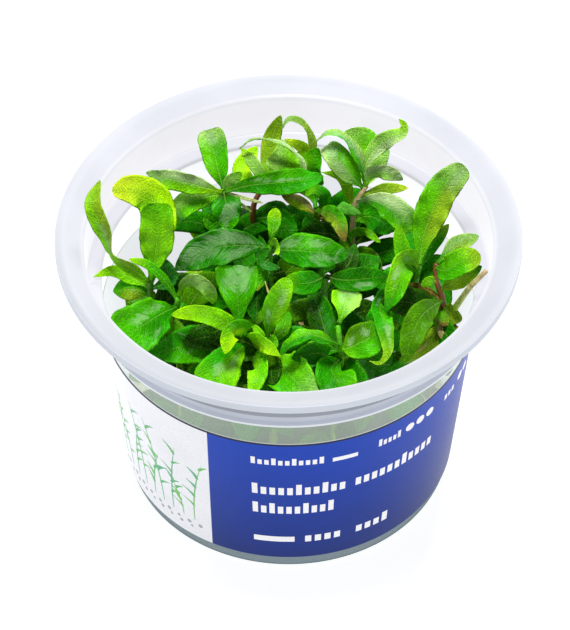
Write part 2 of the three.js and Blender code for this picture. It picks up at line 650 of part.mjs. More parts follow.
function labelGeometry() {
  const inner = FIT_GAP;
  const outer = FIT_GAP + LABEL_THICKNESS;
  return lathe([
    [wallRadius(LABEL_BOTTOM) + inner, LABEL_BOTTOM],
    [wallRadius(LABEL_BOTTOM) + outer, LABEL_BOTTOM],
    [wallRadius(LABEL_TOP) + outer, LABEL_TOP],
    [wallRadius(LABEL_TOP) + inner, LABEL_TOP],
    [wallRadius(LABEL_BOTTOM) + inner, LABEL_BOTTOM],
  ]);
}

function gelGeometry() {
  const bottom = FOOT_RECESS + WALL + FIT_GAP;
  return lathe([
    [0, bottom],
    [BODY_FOOT_RADIUS - WALL - 1.4, bottom],
    [wallRadius(bottom + 1.2) - WALL - FIT_GAP - 0.2, bottom + 1.2],
    [wallRadius(GEL_TOP) - WALL - FIT_GAP - 0.1, GEL_TOP + 0.4],
    [wallRadius(GEL_TOP) - WALL - 2, GEL_TOP],
    [0, GEL_TOP],
  ]);
}

// Colours and how rough each surface is
const FINISHES = {
  plastic: { color: 0xe6eaf2, roughness: 0.25 },
  label: { color: 0x32509c, roughness: 0.35 },
  gel: { color: 0xdedcc8, roughness: 0.1 },
  stem: { color: 0x3a8a1e, roughness: 0.45 },
  cut: { color: 0xa39a6c, roughness: 0.6 },
  lime: { color: 0xa8d02a, roughness: 0.4 },
  bright: { color: 0x7cc83c, roughness: 0.4 },
  fresh: { color: 0x4fb52c, roughness: 0.35 },
  mid: { color: 0x459a28, roughness: 0.4 },
  deep: { color: 0x267c26, roughness: 0.3 },
  dark: { color: 0x1b5a20, roughness: 0.3 },
  bluish: { color: 0x2f7348, roughness: 0.35 },
  greyed: { color: 0x74a468, roughness: 0.35 },
  pale: { color: 0x96cc84, roughness: 0.35 },
  olive: { color: 0x8ba23e, roughness: 0.45 },
};

const plantInCup = new THREE.Group();

function place(name, geometry, finish) {
  const material = new THREE.MeshStandardMaterial({ ...FINISHES[finish], metalness: 0 });
  const mesh = new THREE.Mesh(geometry, material);
  mesh.name = name;
  plantInCup.add(mesh);
}

const stemCurves = {};
for (const [name, stem] of Object.entries(STEMS)) {
  const foot = new THREE.Vector3(stem.foot[0], stem.foot[1], GEL_TOP + FIT_GAP);
  const rise = new THREE.Vector3(stem.foot[0], stem.foot[1], GEL_TOP + 12);
  stemCurves[name] = curveThrough([foot, rise, ...stem.path.map(seen)]);
}

// Where a leaf leaves its stem: the nearest place on the stem's axis, and the share along it
function rootOf(curve, near) {
  let best = { distance: Infinity };
  for (let i = 0; i <= 60; i += 1) {
    const t = i / 60;
    const place = curve.getPointAt(t);
    const distance = place.distanceTo(near);
    if (distance < best.distance) best = { distance, t, place };
  }
  return best;
}

// A separate leaf starts just clear of the stem's skin
function leafCurve(leaf) {
  const points = leaf.path.map(seen);
  const root = rootOf(stemCurves[leaf.stem], points[0]);
  if (root.distance > 6) return curveThrough(points);
  const start = root.place.clone();
  const heading = points[1].clone().sub(start).normalize();
  const along = stemCurves[leaf.stem].getTangentAt(root.t);
  const slant = Math.max(Math.sqrt(1 - heading.dot(along) ** 2), 0.35);
  let clear = (stemRadius(root.t) + FOOT_GAP) / slant;
  if (root.t > 0.99 && heading.dot(along) > 0.2) {
    clear = Math.min(clear, (stemRadius(1) + FOOT_GAP) / heading.dot(along));
  }
  return curveThrough([start.addScaledVector(heading, clear), ...points.slice(1)]);
}

place('cup', cupGeometry(), 'plastic');
place('label_sleeve', labelGeometry(), 'label');
place('nutrient_gel', gelGeometry(), 'gel');

for (const [name, stem] of Object.entries(STEMS)) {
  const parts = [stemGeometry(stemCurves[name])];
  for (const leaflet of Object.values(stem.leaflets)) {
    const points = leaflet.path.map(seen);
    points[0] = rootOf(stemCurves[name], points[0]).place;
    parts.push(bladeGeometry(curveThrough(points), leaflet, LEAFLET_SPANS));
  }
  place(name, joined(parts), 'stem');
}

place('cut_stem', stemGeometry(curveThrough(CUT_STEM.map(seen)), CUT_STEM_RADIUS), 'cut');

for (const [name, leaf] of Object.entries(LEAVES)) {
  place(name, bladeGeometry(leafCurve(leaf), leaf, LEAF_SPANS), leaf.tint);
}

export default plantInCup;
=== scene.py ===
import math
import random

import bpy
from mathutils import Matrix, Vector


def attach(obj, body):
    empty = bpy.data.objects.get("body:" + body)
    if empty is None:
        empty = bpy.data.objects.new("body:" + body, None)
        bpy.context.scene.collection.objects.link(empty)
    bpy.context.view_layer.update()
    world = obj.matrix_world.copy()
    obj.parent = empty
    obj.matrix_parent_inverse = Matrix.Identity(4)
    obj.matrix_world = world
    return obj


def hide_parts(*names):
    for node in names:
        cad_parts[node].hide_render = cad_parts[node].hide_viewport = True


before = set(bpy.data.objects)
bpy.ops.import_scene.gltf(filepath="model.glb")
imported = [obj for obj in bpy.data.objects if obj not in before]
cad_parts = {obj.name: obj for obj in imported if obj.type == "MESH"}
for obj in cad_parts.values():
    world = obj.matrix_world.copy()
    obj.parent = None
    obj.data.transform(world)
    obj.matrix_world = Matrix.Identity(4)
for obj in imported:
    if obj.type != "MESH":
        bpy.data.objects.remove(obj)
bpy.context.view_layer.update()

# Giant hygrophila from tissue culture, in its open round cup.
# Sizes are real ones in mm; MM turns them into Blender's metres.
MM = 0.001

# Cup
RIM_RADIUS = 59
RIM_HEIGHT = 80.2
RIM_SKIRT = 2.2
NECK_RADIUS = 52.6
NECK_FOOT_RADIUS = 52.4
SHOULDER_HEIGHT = 65.2
BODY_TOP_RADIUS = 48.5
BODY_FOOT_RADIUS = 42.9
WALL = 1
FOOT_RECESS = 1
CUP_SIDES = 144

# Label sleeve and gel
LABEL_BOTTOM = 4.7
LABEL_TOP = 54
LABEL_THICKNESS = 0.3
LABEL_SIDES = 360
LABEL_STEPS = 12
LABEL_FACE_END = 0.6
EDGE_LINE_WIDTH = 0.55
PRINT_THICKNESS = 0.04
PRINT_FOOT = 0.005
GEL_TOP = 12
GEL_SIDES = 96
FIT_GAP = 0.3

# Stems
STEM_SIDES = 10
STEM_RINGS = 26
CUT_STEM_SIDES = 12
CUT_STEM_RINGS = 16
STEM_UNEVENNESS = 0.06
STEM_RISE = 12
CROWN_HEIGHT = 0.5
ROOT_STEPS = 60
ROOT_DEPTH = 0.5
LEAST_SLANT = 0.35

# Blades: sizes in mm, and where along a blade it opens, thins and changes tone
LEAF_RINGS = 54
LEAF_COLUMNS = 15
LEAFLET_RINGS = 30
LEAFLET_COLUMNS = 11
RING_CROWDING = 1.35
BLADE_THICKNESS = 0.3
STALK_THICKNESS = 0.9
STALK_WIDTH = 1.3
TIP_WIDTH = 0.3
OPENS = (0.15, 0.4)
THINS = (0, 0.25)
FOOT_TONE = (0.04, 0.4)
TIP_TONE = (0.62, 0.98)
SIDE_TONE = (-0.35, 0.35)
# How much each shine spot adds to a blade's painted sheen
PAINTED_SHINE_STRENGTH = 1.3

# Veins, and the quilting between them
VEIN_SPACING = 2.3
VEIN_SLANT = 0.75
VEIN_BEND = 1.3
VEIN_JITTER = 0.9
QUILTING = 0.09
RIB_WIDTH = 0.55
RIB_FURROW = 0.22
RIB_RIDGE = 0.5
EDGE_THINNING = 0.82

# Uneven edge: the least length in mm of a wave and of a dent, and how much longer it may be by chance;
# slow bulges by rate; heights and depths as shares of half the width
FULL_TURN = 6.28
WAVE_LENGTH = (6, 4)
WAVE_HEIGHT = 0.2
DENT_LENGTH = (2.5, 1)
DENT_DEPTH = 0.012
BULGE_DEPTH = 0.035
BULGE_RATE = 9
BULGE_SHIFT = 3
LEFT_SHIFT = 1.9

# How a blade turns to face the view, and the step its heading is read by
FACING_STEPS = 48
FACING_PULL = 0.3
HEADING_STEP = 0.004

# Viewpoint of the photograph
VIEW_ELEVATION = math.radians(46.85)
VIEW_DISTANCE = 852
VIEW_CENTRE_HEIGHT = 49.8
VIEW_SCALE = 3295
VIEW_CENTRE_ACROSS = 288.5
VIEW_CENTRE_DOWN = 315
PICTURE_WIDTH = 570
PICTURE_HEIGHT = 630
SENSOR = 36
CLIP_START = 0.05
CLIP_END = 20

VIEW_FORWARD = Vector((0, math.cos(VIEW_ELEVATION), -math.sin(VIEW_ELEVATION)))
VIEW_UP = Vector((0, math.sin(VIEW_ELEVATION), math.cos(VIEW_ELEVATION)))
VIEW_EYE = Vector((0, 0, VIEW_CENTRE_HEIGHT)) - VIEW_FORWARD * VIEW_DISTANCE


def make_camera():
    data = bpy.data.cameras.new("camera")
    data.sensor_width = SENSOR
    data.lens = VIEW_SCALE * SENSOR / PICTURE_HEIGHT
    data.shift_x = (PICTURE_WIDTH / 2 - VIEW_CENTRE_ACROSS) / PICTURE_HEIGHT
    data.clip_start = CLIP_START
    data.clip_end = CLIP_END
    camera = bpy.data.objects.new("camera", data)
    camera.location = VIEW_EYE * MM
    camera.rotation_euler = (math.pi / 2 - VIEW_ELEVATION, 0, 0)
    bpy.context.collection.objects.link(camera)
    bpy.context.scene.camera = camera


make_camera()


# Colours, as eight-bit values
def colour(red, green, blue):
    def channel(value):
        value /= 255
        return value / 12.92 if value <= 0.04045 else ((value + 0.055) / 1.055) ** 2.4
    return (channel(red), channel(green), channel(blue), 1)


TONES = {
    "lime": colour(160, 222, 12),
    "yellow": colour(200, 226, 44),
    "bright": colour(122, 206, 12),
    "fresh": colour(90, 186, 6),
    "mid": colour(60, 168, 0),
    "deep": colour(22, 142, 0),
    "dark": colour(6, 112, 0),
    "night": colour(2, 60, 2),
    "moss": colour(62, 122, 0),
    "bluish": colour(30, 132, 40),
    "greyed": colour(140, 186, 96),
    "pale": colour(152, 210, 92),
    "misty": colour(174, 206, 144),
    "cream": colour(220, 226, 160),
    "olive": colour(132, 172, 30),
    "brown": colour(118, 82, 42),
    "red": colour(128, 74, 30),
    "beige": colour(190, 166, 120),
}
# The grey-green that a leaf's colour leans to where a sheen is painted, a painted reflection
PAINTED_SHEEN_TONE = colour(168, 204, 150)

# Blade outlines: how far along the widest place is, how hollow the foot runs in, and how square and
# how pointed the tip is
OUTLINES = {
    "oval": (0.52, 1.3, 2, 0.72),
    "blunt": (0.64, 1.2, 2.4, 0.55),
    "square": (0.6, 1.1, 5, 0.22),
    "clipped": (0.58, 1.1, 1.7, 0.3),
    "lance": (0.42, 1.2, 1.7, 0.95),
    "strap": (0.5, 0.7, 2.6, 0.6),
    "spoon": (0.74, 2, 2.2, 0.55),
    "fan": (0.88, 1.5, 3, 0.5),
    "wedge": (0.92, 2.2, 4, 0.4),
}


def blade(outline, width, path, tones, turn=0, fold=6, wave=0.9, bow=0.3, sheen=0.42, shine=()):
    """One leaf blade: width in mm, turn and fold in degrees, path as points of the view with heights.

    tones are foot, left half, right half and tip, or foot and tip, or one for all; its sheen is how much of
    it gets a greyish reflection painted into its colour. Each shine is one place where that painted sheen is
    stronger: its share along, its reach to the left, and its size both ways."""
    names = tones.split()
    if len(names) == 1:
        names = names * 4
    if len(names) == 2:
        names = [names[0], names[0], names[0], names[1]]
    return {
        "outline": outline, "width": width, "path": path, "tones": [TONES[name] for name in names],
        "turn": turn, "fold": fold, "wave": wave, "bow": bow, "sheen": sheen, "shine": shine,
    }


# Each stem: its foot on the gel in mm, its path, and the small leaves that have grown as one with it
STEMS = {
    "rosette_stem": ((-14, 17), [(224, 196, 66), (224, 192, 71)], [
        blade("oval", 4, [(224, 192, 70), (232, 181, 75), (242, 172, 78)], "pale bright"),
        blade("oval", 5, [(226, 238, 51), (208, 238, 54), (186, 217, 60)], "lime yellow"),
        blade("oval", 5.4, [(224, 212, 57), (214, 222, 58), (203, 220, 60)], "mid fresh"),
    ]),
    "rear_stem": ((-8.6, 25), [(253, 229, 55), (255, 201, 66), (266, 184, 71)], [
        blade("oval", 5.4, [(262, 188, 69), (242, 172, 70), (257, 146, 73)], "lime"),
        blade("oval", 3.4, [(266, 184, 70), (258, 170, 76), (241, 148, 79)], "pale lime"),
        blade(
            "oval", 5.2, [(266, 184, 70), (269, 163, 72), (271.5, 140, 76), (281, 115, 82)],
            "fresh olive olive olive"),
        blade(
            "oval", 4.4, [(264, 187, 68), (292, 173, 67), (304, 150, 71), (284, 139, 74)], "lime yellow"),
        blade("oval", 7, [(254, 214, 59.5), (275, 218, 60), (296, 239, 57)], "dark deep"),
        blade(
            "strap", 3, [(266, 184, 71), (306, 164, 72), (312, 140, 77), (302, 123, 81), (289, 119, 83),
            (281, 130, 81)], "olive greyed", turn=(-40, -50, -60), fold=4),
    ]),
    "inner_stem": ((8, 16), [(318, 226, 54), (316, 210, 61)], [
        blade(
            "oval", 4.2, [(316, 210, 61), (323, 205, 64), (323, 195, 68.5), (314, 190, 70.5),
            (304, 196, 68.5)], "deep bright", turn=(0, -45, -50)),
        blade("oval", 3.6, [(316, 213, 59), (304, 205, 60), (281, 194, 63)], "brown yellow beige brown"),
        blade("oval", 4.6, [(317, 214, 58), (310, 225, 59.5), (313, 241, 57)], "dark"),
        blade("oval", 7, [(318, 230, 51), (335, 244, 54), (350, 262, 51)], "dark deep"),
    ]),
    "right_rear_stem": ((17, 21), [(353, 222, 60), (355, 204, 66), (366, 186, 71)], [
        blade("lance", 3, [(355, 206, 64), (342, 178, 69), (321, 172, 68)], "lime"),
        blade(
            "oval", 8.4, [(366, 186, 70), (370, 162, 71), (365, 142, 75), (345, 131, 78)],
            "fresh bright fresh pale"),
        blade("oval", 5.2, [(366, 186, 70), (372, 170, 71), (389, 149, 74)], "pale greyed"),
        blade("oval", 3, [(361, 194, 69), (384, 189, 70), (408, 188, 68)], "olive yellow"),
        blade("oval", 3.4, [(353, 214, 62), (338, 207, 66), (361, 214, 68)], "mid", sheen=0.2),
        blade(
            "oval", 3, [(353, 240, 52), (352, 236, 57), (366, 232, 63), (381, 243, 61.5)],
            "fresh bright"),
    ]),
    "right_stem": ((30, 9), [(417, 277, 56), (419, 267, 61)], [
        blade("oval", 4.6, [(418, 272, 58), (405, 258, 65), (397, 224, 72)], "fresh bright"),
        blade("oval", 7, [(418, 270, 58), (413, 232, 60), (399, 200, 64)], "deep greyed"),
        blade("oval", 4, [(419, 268, 60), (431, 246, 62), (449, 224, 66)], "deep olive"),
        blade("oval", 7, [(416, 284, 47), (404, 303, 50), (398, 328, 47)], "dark"),
    ]),
    "right_front_stem": ((37, -8), [(443, 301, 57), (436, 280, 62), (436, 264, 66)], [
        blade("oval", 2.6, [(437, 280, 61), (430, 281, 64), (421, 286, 62)], "bright"),
        blade("oval", 5, [(442, 290, 59), (459, 279, 65.5), (482, 266, 70)], "olive dark"),
        blade("strap", 1.6, [(442, 300, 57), (424, 288, 59), (409, 284, 58)], "brown"),
        blade("lance", 6, [(443, 312, 49), (428, 342, 50), (396, 366, 47)], "olive dark"),
    ]),
    "centre_stem": ((9, -3), [(325, 283, 62), (325, 276, 65)], [
        blade("oval", 4.4, [(325, 279, 63), (346, 267, 64), (356, 244, 64)], "night dark"),
        blade("oval", 8, [(325, 284, 58), (352, 274, 59), (380, 258, 58)], "dark deep"),
    ]),
    "middle_stem": ((-4, 6), [(270, 258, 62), (270, 245, 67)], [
        blade("spoon", 3.6, [(270, 246, 67), (272, 234, 71), (276, 208, 75)], "fresh lime"),
        blade("oval", 3, [(270, 246, 67), (276, 243, 71), (278, 255, 73)], "bright lime"),
        blade("oval", 2.4, [(270, 256, 62), (264, 265, 63), (280, 268, 64)], "bluish"),
        blade("oval", 2.6, [(270, 257, 61), (264, 276, 59), (256, 291, 57)], "mid olive"),
        blade("oval", 7, [(270, 262, 56), (259, 288, 53), (256, 322, 48)], "dark"),
        blade("oval", 6, [(270, 262, 56), (300, 267, 55), (336, 266, 52)], "night dark"),
    ]),
    "front_centre_stem": ((-4, -13), [(268, 350, 53), (267, 339, 58)], [
        blade("oval", 2, [(267, 342, 57), (259, 332, 59), (251, 324, 60)], "bright"),
        blade("oval", 3.8, [(267, 341, 57), (279, 334, 59), (289, 312, 60)], "fresh mid"),
        blade("oval", 2.2, [(267, 340, 57), (274, 340, 60), (276, 349, 60)], "fresh"),
    ]),
    "front_left_stem": ((-11, -14), [(247, 346, 53), (246, 335, 58)], [
        blade(
            "oval", 5.6, [(248, 350, 50), (260, 361, 55), (256, 380, 56), (250, 400, 53)],
            "mid fresh bright bright"),
        blade(
            "lance", 5.8, [(247, 344, 53), (256, 341, 58), (266, 346, 61), (281, 357, 59)],
            "fresh bright lime lime", turn=(-30, 0, 0)),
    ]),
    "left_stem": ((-28, -9), [(177, 308, 58), (178, 298, 62)], [
        blade("strap", 2.4, [(178, 299, 61), (163, 278, 68), (148, 265, 71), (129, 259, 70)], "mid lime"),
        blade("oval", 8, [(178, 310, 56), (190, 291, 57), (200, 268, 58)], "deep olive"),
        blade("oval", 7, [(178, 312, 55), (205, 303, 55), (235, 300, 54)], "deep dark"),
    ]),
    "left_rear_stem": ((-33, -4), [(150, 296, 60), (149, 282, 65)], [
        blade("oval", 6, [(150, 292, 61), (134, 289, 63), (113, 291, 62)], "deep olive deep mid"),
        blade("oval", 4.6, [(150, 290, 62), (168, 280, 63), (163, 258, 64)], "bluish"),
        blade(
            "lance", 3.8, [(149, 288, 63), (134, 279, 65), (113, 271, 67.5), (93, 277, 67)],
            "bright lime"),
    ]),
    "front_stem": ((12, -18), [(341, 356, 54), (340, 346, 59), (338, 326, 64)], [
        blade("oval", 3.6, [(340, 350, 57), (320, 349, 56), (307, 343, 55)], "deep fresh"),
        blade("oval", 8, [(341, 360, 51), (320, 356, 52), (292, 350, 50)], "dark deep"),
        blade("oval", 7, [(341, 362, 50), (354, 371, 50), (376, 372, 47)], "dark"),
    ]),
}

# Brown remains of old leaves and bare roots between the stems
REMAINS = {
    "front_centre_stem": [
        blade("strap", 2.6, [(270, 342, 52), (288, 318, 52), (294, 298, 52)], "brown night"),
        blade("strap", 2, [(270, 345, 50), (296, 336, 50), (303, 318, 50)], "brown beige"),
        blade("strap", 0.6, [(268, 340, 55), (271, 305, 60), (265, 281, 62)], "beige"),
    ],
    "inner_stem": [
        blade("strap", 2.2, [(317, 216, 57), (326, 218, 58), (335, 238, 55)], "brown beige"),
        blade("strap", 1.4, [(317, 220, 56), (322, 232, 56), (326, 244, 54)], "beige brown"),
        blade("strap", 1.6, [(317, 213, 58), (327, 206, 61), (334, 212, 61)], "brown"),
    ],
    "right_front_stem": [
        blade("strap", 2.2, [(443, 312, 53), (452, 326, 53), (461, 334, 52)], "brown beige"),
        blade("strap", 1.6, [(443, 316, 52), (440, 330, 52), (446, 344, 50)], "beige brown"),
        blade("strap", 1, [(443, 318, 51), (430, 340, 51), (418, 352, 49)], "olive beige"),
        blade("strap", 1, [(443, 320, 50), (450, 340, 50), (440, 356, 48)], "lime olive"),
    ],
    "rosette_stem": [
        blade("strap", 1, [(225, 195, 70), (240, 197, 70), (263, 203, 67)], "cream"),
        blade("strap", 0.9, [(225, 196, 69), (238, 202, 68), (252, 212, 65)], "cream pale"),
    ],
}

# Bare end of a cut stem, leaning on the wall
CUT_STEM = [(455, 308, 58.5), (462, 298, 64.5), (471, 286, 70), (486, 271, 75)]

# Each separate leaf; the first part of its name is that of the stem that carries it
LEAVES = {
    "rosette_leaf_upright": blade(
        "square", 7.2, [(223, 189, 72), (217, 164, 76), (210, 129, 81)], "dark fresh mid greyed",
        turn=(0, 5, 10), fold=8, shine=[(0.86, 0.1, 0.1, 0.4)]),
    "rosette_leaf_left": blade(
        "oval", 5.8, [(224, 192, 71), (207, 188, 74), (189, 183, 76), (168, 178.5, 77), (146, 172.5, 76)],
        "lime bright misty greyed", turn=(10, 20, 30), fold=12, shine=[(0.55, -0.5, 0.2, 0.4),
        (0.85, 0.2, 0.1, 0.4)]),
    "rosette_leaf_lower_left": blade(
        "oval", 6.2, [(224, 194, 67), (205, 197, 70), (187, 203, 70), (177, 214, 66.5), (175, 230, 61.5)],
        "bright fresh pale deep", fold=12, sheen=0.6),
    "rosette_leaf_front": blade(
        "oval", 8, [(224, 193, 70), (226, 205, 72), (229, 230, 66)], "night deep deep mid", fold=8,
        sheen=0.6, shine=[(0.6, 0.3, 0.2, 0.4), (0.8, -0.3, 0.15, 0.3)]),
    "rosette_leaf_long_right": blade(
        "blunt", 6.6, [(224, 192, 71), (250, 185, 77), (283, 182, 79), (306, 180, 78.5), (323, 176, 78)],
        "mid mid deep deep", turn=(10, -15, 40), fold=10, shine=[(0.62, 0.15, 0.22, 0.16),
        (0.4, 0.5, 0.1, 0.2)]),
    "left_rear_leaf_lime": blade(
        "blunt", 9.4, [(150, 290, 61), (154, 264, 65), (157, 240, 69), (159, 217, 73), (153, 199, 76),
        (135, 190, 79), (112, 190, 78)], "fresh bright lime yellow"),
    "rear_leaf_pale": blade(
        "lance", 9, [(266, 184, 71), (279, 174, 74), (284, 157, 77), (281, 139, 80)],
        "bright pale bright pale", fold=10),
    "rear_leaf_arched": blade(
        "oval", 2.8, [(261, 191, 68), (283, 189, 69.5), (301, 180, 74.5), (302, 162, 79), (290, 149, 82),
        (271, 140, 84), (251, 140, 83.5), (239, 149, 81)], "mid greyed misty greyed",
        turn=(-70, -72, -75), shine=[(0.6, 0, 0.3, 0.4)]),
    "inner_leaf_dark": blade(
        "oval", 8.2, [(316, 210, 61), (314, 197, 62.5), (309, 180, 68), (311, 165, 74), (319, 148, 79)],
        "deep bright mid mid", turn=(0, 10, 20), fold=14),
    "inner_leaf_brown_tip": blade(
        "oval", 4.8, [(320, 211, 62.3), (328, 212.5, 65.2), (338, 219.5, 68), (345, 242, 66)],
        "bright mid olive brown"),
    "right_rear_leaf_curled_tip": blade(
        "oval", 4.6, [(366, 186, 71), (366, 164, 75), (378, 146, 79), (391, 138, 82.5), (402, 133, 84.5),
        (405, 126.5, 86.3), (399, 118.5, 87.2)], "olive pale misty lime", turn=(0, 0, 40), fold=8),
    "right_rear_leaf_arched": blade(
        "oval", 4, [(366, 186, 71), (359, 158, 80), (347, 139, 84), (328, 133, 84.5), (315, 142, 82)],
        "deep mid greyed greyed", turn=(-30, -50, -70), shine=[(0.65, 0, 0.3, 0.5)]),
    "right_rear_leaf_glossy": blade(
        "oval", 7, [(361, 190, 70.5), (353, 177, 74.5), (341, 162, 78), (329, 150, 79.5),
        (321, 149, 77.5)], "mid greyed fresh misty", turn=(0, 0, -30), fold=8,
        shine=[(0.5, 0.35, 0.25, 0.4), (0.75, -0.2, 0.12, 0.4)]),
    "right_rear_leaf_grey": blade(
        "oval", 4.6, [(366, 188, 70), (372, 173, 76), (387, 172, 78), (403, 180, 75)],
        "bright misty pale misty", turn=(0, -20, -20), fold=10, shine=[(0.5, 0.3, 0.3, 0.5)]),
    "right_rear_leaf_drooping": blade(
        "spoon", 7, [(356, 202, 67), (372, 200, 73), (388, 206, 75), (401, 217, 73), (410, 233, 69)],
        "misty misty mid fresh", turn=(-40, 0, 0), fold=8, sheen=0.5, shine=[(0.28, 0.4, 0.15, 0.4),
        (0.5, 0.5, 0.14, 0.25)]),
    "right_rear_leaf_dark": blade(
        "oval", 9, [(353, 222, 60), (366, 216, 62.5), (380, 220, 61.5), (391, 233, 57)],
        "fresh deep deep deep"),
    "right_leaf_tall": blade(
        "clipped", 9, [(419, 267, 61), (423, 238, 68), (428, 221, 72), (435, 204, 76), (443, 189, 79.5),
        (454, 178, 82.5), (466, 167, 85.5)], "fresh fresh olive greyed", turn=(0, 0, 10), fold=12,
        shine=[(0.86, -0.1, 0.1, 0.35)]),
    "right_leaf_wavy": blade(
        "oval", 7, [(419, 270, 60), (411, 257, 69), (404, 258, 72), (397, 284, 70), (385, 312, 65)],
        "bright fresh bright deep", turn=(0, 0, 30), fold=8, wave=1, shine=[(0.42, 0.3, 0.14, 0.25),
        (0.66, -0.3, 0.1, 0.3)]),
    "right_leaf_hooked": blade(
        "lance", 6.2, [(414, 283, 52), (396, 290, 57), (380, 305, 60), (386, 332, 64), (388, 352, 63),
        (380, 363, 61), (369, 361, 60)], "deep mid deep olive", turn=(40, 0, -40), fold=10,
        shine=[(0.72, 0.2, 0.08, 0.4), (0.4, -0.4, 0.06, 0.3)]),
    "right_front_leaf_upper": blade(
        "oval", 4.8, [(436, 266, 66), (448, 254, 69), (461, 243, 71), (479, 236, 72)],
        "mid greyed olive greyed", turn=(0, 10, 10), fold=8),
    "right_front_leaf_round": blade(
        "blunt", 7, [(436, 268, 65), (446, 270, 70), (462, 261, 73), (481, 257, 73)],
        "mid fresh mid olive", fold=8),
    "right_front_leaf_pointed": blade(
        "oval", 7.2, [(443, 302, 57), (433, 306, 60), (420, 318, 62), (411, 338, 60), (405, 363, 55)],
        "moss", fold=12),
    "right_front_leaf_low": blade(
        "oval", 8.6, [(443, 302, 55), (446, 309, 56), (443, 326, 54)], "olive olive fresh brown"),
    "centre_leaf_left": blade(
        "oval", 6.4, [(325, 276, 65), (307, 283, 68), (283, 281, 67)], "dark deep deep bright",
        turn=(0, 0, 10), fold=8),
    "centre_leaf_right": blade(
        "oval", 6.6, [(325, 276, 65), (345, 280, 67.5), (388, 276, 66)], "night dark deep dark", fold=10,
        shine=[(0.6, -0.45, 0.16, 0.22)]),
    "middle_leaf_dark": blade(
        "oval", 9.6, [(270, 248, 66), (240, 245, 71), (208, 250, 71), (175, 270, 65)],
        "deep deep dark dark", turn=(0, 10, 20), sheen=0.8, shine=[(0.4, -0.45, 0.2, 0.3),
        (0.68, 0.1, 0.12, 0.3), (0.8, -0.4, 0.08, 0.3), (0.35, 0.5, 0.15, 0.3)]),
    "middle_leaf_oval": blade(
        "oval", 9.2, [(270, 250, 65), (292, 250, 70), (320, 252, 72), (348, 256, 69)],
        "dark mid deep deep", sheen=0.6, shine=[(0.33, 0.45, 0.13, 0.3), (0.7, -0.35, 0.15, 0.22),
        (0.62, 0.5, 0.07, 0.2)]),
    "front_centre_leaf_upright": blade(
        "blunt", 6.2, [(267, 337, 59), (271, 318, 66), (278, 301, 71), (284, 288, 74.5), (289, 278, 76)],
        "mid fresh bright bright", fold=8, shine=[(0.42, 0.4, 0.1, 0.3), (0.66, -0.35, 0.14, 0.25)]),
    "front_left_leaf_folded": blade(
        "wedge", 11.8, [(246, 337, 57), (240, 323, 62), (238, 300, 68), (237, 265, 74)],
        "mid mid mid mid", fold=20, shine=[(0.78, 0.35, 0.16, 0.3), (0.72, -0.4, 0.12, 0.25),
        (0.94, -0.3, 0.08, 0.4)]),
    "front_left_leaf_long": blade(
        "oval", 5, [(246, 340, 56), (231, 326, 64), (214, 317, 68), (192, 313, 68.5), (171, 315, 66)],
        "fresh bright bright lime", turn=(-20, 0, 0), fold=8),
    "front_left_leaf_curl_left": blade(
        "oval", 6.2, [(247, 335, 58), (243, 328, 65.5), (231, 333, 68.3), (225, 354, 65)],
        "fresh lime mid lime", turn=(-30, 0, 0)),
    "front_left_leaf_front": blade(
        "fan", 11, [(247, 344, 54), (238, 350, 58), (225, 364, 59.5), (209, 390, 56.5)],
        "deep bright deep fresh", fold=10, shine=[(0.5, 0.45, 0.14, 0.25), (0.72, -0.1, 0.08, 0.3)]),
    "front_centre_leaf_corner": blade(
        "oval", 11.2, [(268, 353, 51), (280, 366, 54), (297, 382, 56), (318, 404, 52.5)],
        "bright fresh mid greyed", fold=10),
    "left_leaf_arched": blade(
        "oval", 5.2, [(178, 298, 62), (184, 284, 67), (197, 282, 70), (208, 289, 69), (213, 304, 64)],
        "bright greyed pale bright", turn=(-30, -30, -30), shine=[(0.55, -0.2, 0.2, 0.4)]),
    "left_leaf_broad": blade(
        "fan", 13.4, [(177, 306, 59), (162, 313, 66), (143, 325, 70), (118, 341, 69.5)],
        "deep deep mid mid", fold=8, shine=[(0.45, -0.5, 0.12, 0.22), (0.7, -0.3, 0.1, 0.2),
        (0.6, 0.6, 0.1, 0.15)]),
    "front_left_leaf_dark": blade(
        "oval", 9.8, [(247, 352, 49), (223, 343, 53), (197, 344, 56), (172, 349, 57.5), (149, 356, 57)],
        "mid mid deep deep", fold=8, sheen=0.55, shine=[(0.35, -0.5, 0.1, 0.25)]),
    "left_rear_leaf_strap": blade(
        "strap", 5, [(150, 284, 65), (131, 268, 72), (112, 254, 76), (107, 238, 79), (99, 221, 83),
        (93, 204, 86.6), (100, 180, 88.4)], "bright bright olive olive", turn=(0, 20, 85, 30, 10, 50),
        fold=10, wave=0, shine=[(0.5, 0, 0.12, 0.5)]),
    "left_rear_leaf_upright": blade(
        "square", 8.8, [(149, 282, 65), (154, 262, 70), (157, 234, 78), (157, 203, 84.5)],
        "fresh bright bright fresh", fold=10),
    "front_leaf_arched": blade(
        "oval", 5, [(340, 346, 59), (327, 340, 63.5), (309, 335, 66), (292, 341, 65.5), (280, 355, 61)],
        "deep deep fresh deep", turn=(-40, -55, -40)),
    "front_leaf_light": blade(
        "oval", 9.6, [(340, 347, 58), (350, 347, 60.5), (365, 340, 62), (381, 331, 60)],
        "bright moss mid mid", fold=12, shine=[(0.3, 0.3, 0.12, 0.3), (0.62, 0.4, 0.1, 0.25)]),
    "front_leaf_front": blade(
        "oval", 10.4, [(340, 357, 53), (331, 369, 55.5), (338, 382, 56), (350, 406, 52)],
        "dark mid deep bright", fold=12),
    "front_leaf_dark": blade(
        "oval", 7, [(340, 352, 56), (326, 332, 57), (318, 306, 60), (311, 290, 60)],
        "night night dark dark", fold=8),
    "front_leaf_bright": blade(
        "oval", 7.8, [(338, 327, 64), (342, 315, 66.5), (346, 300, 66), (351, 284, 63.5)],
        "fresh bright pale mid", shine=[(0.55, 0.3, 0.2, 0.4), (0.7, -0.4, 0.12, 0.3)]),
}

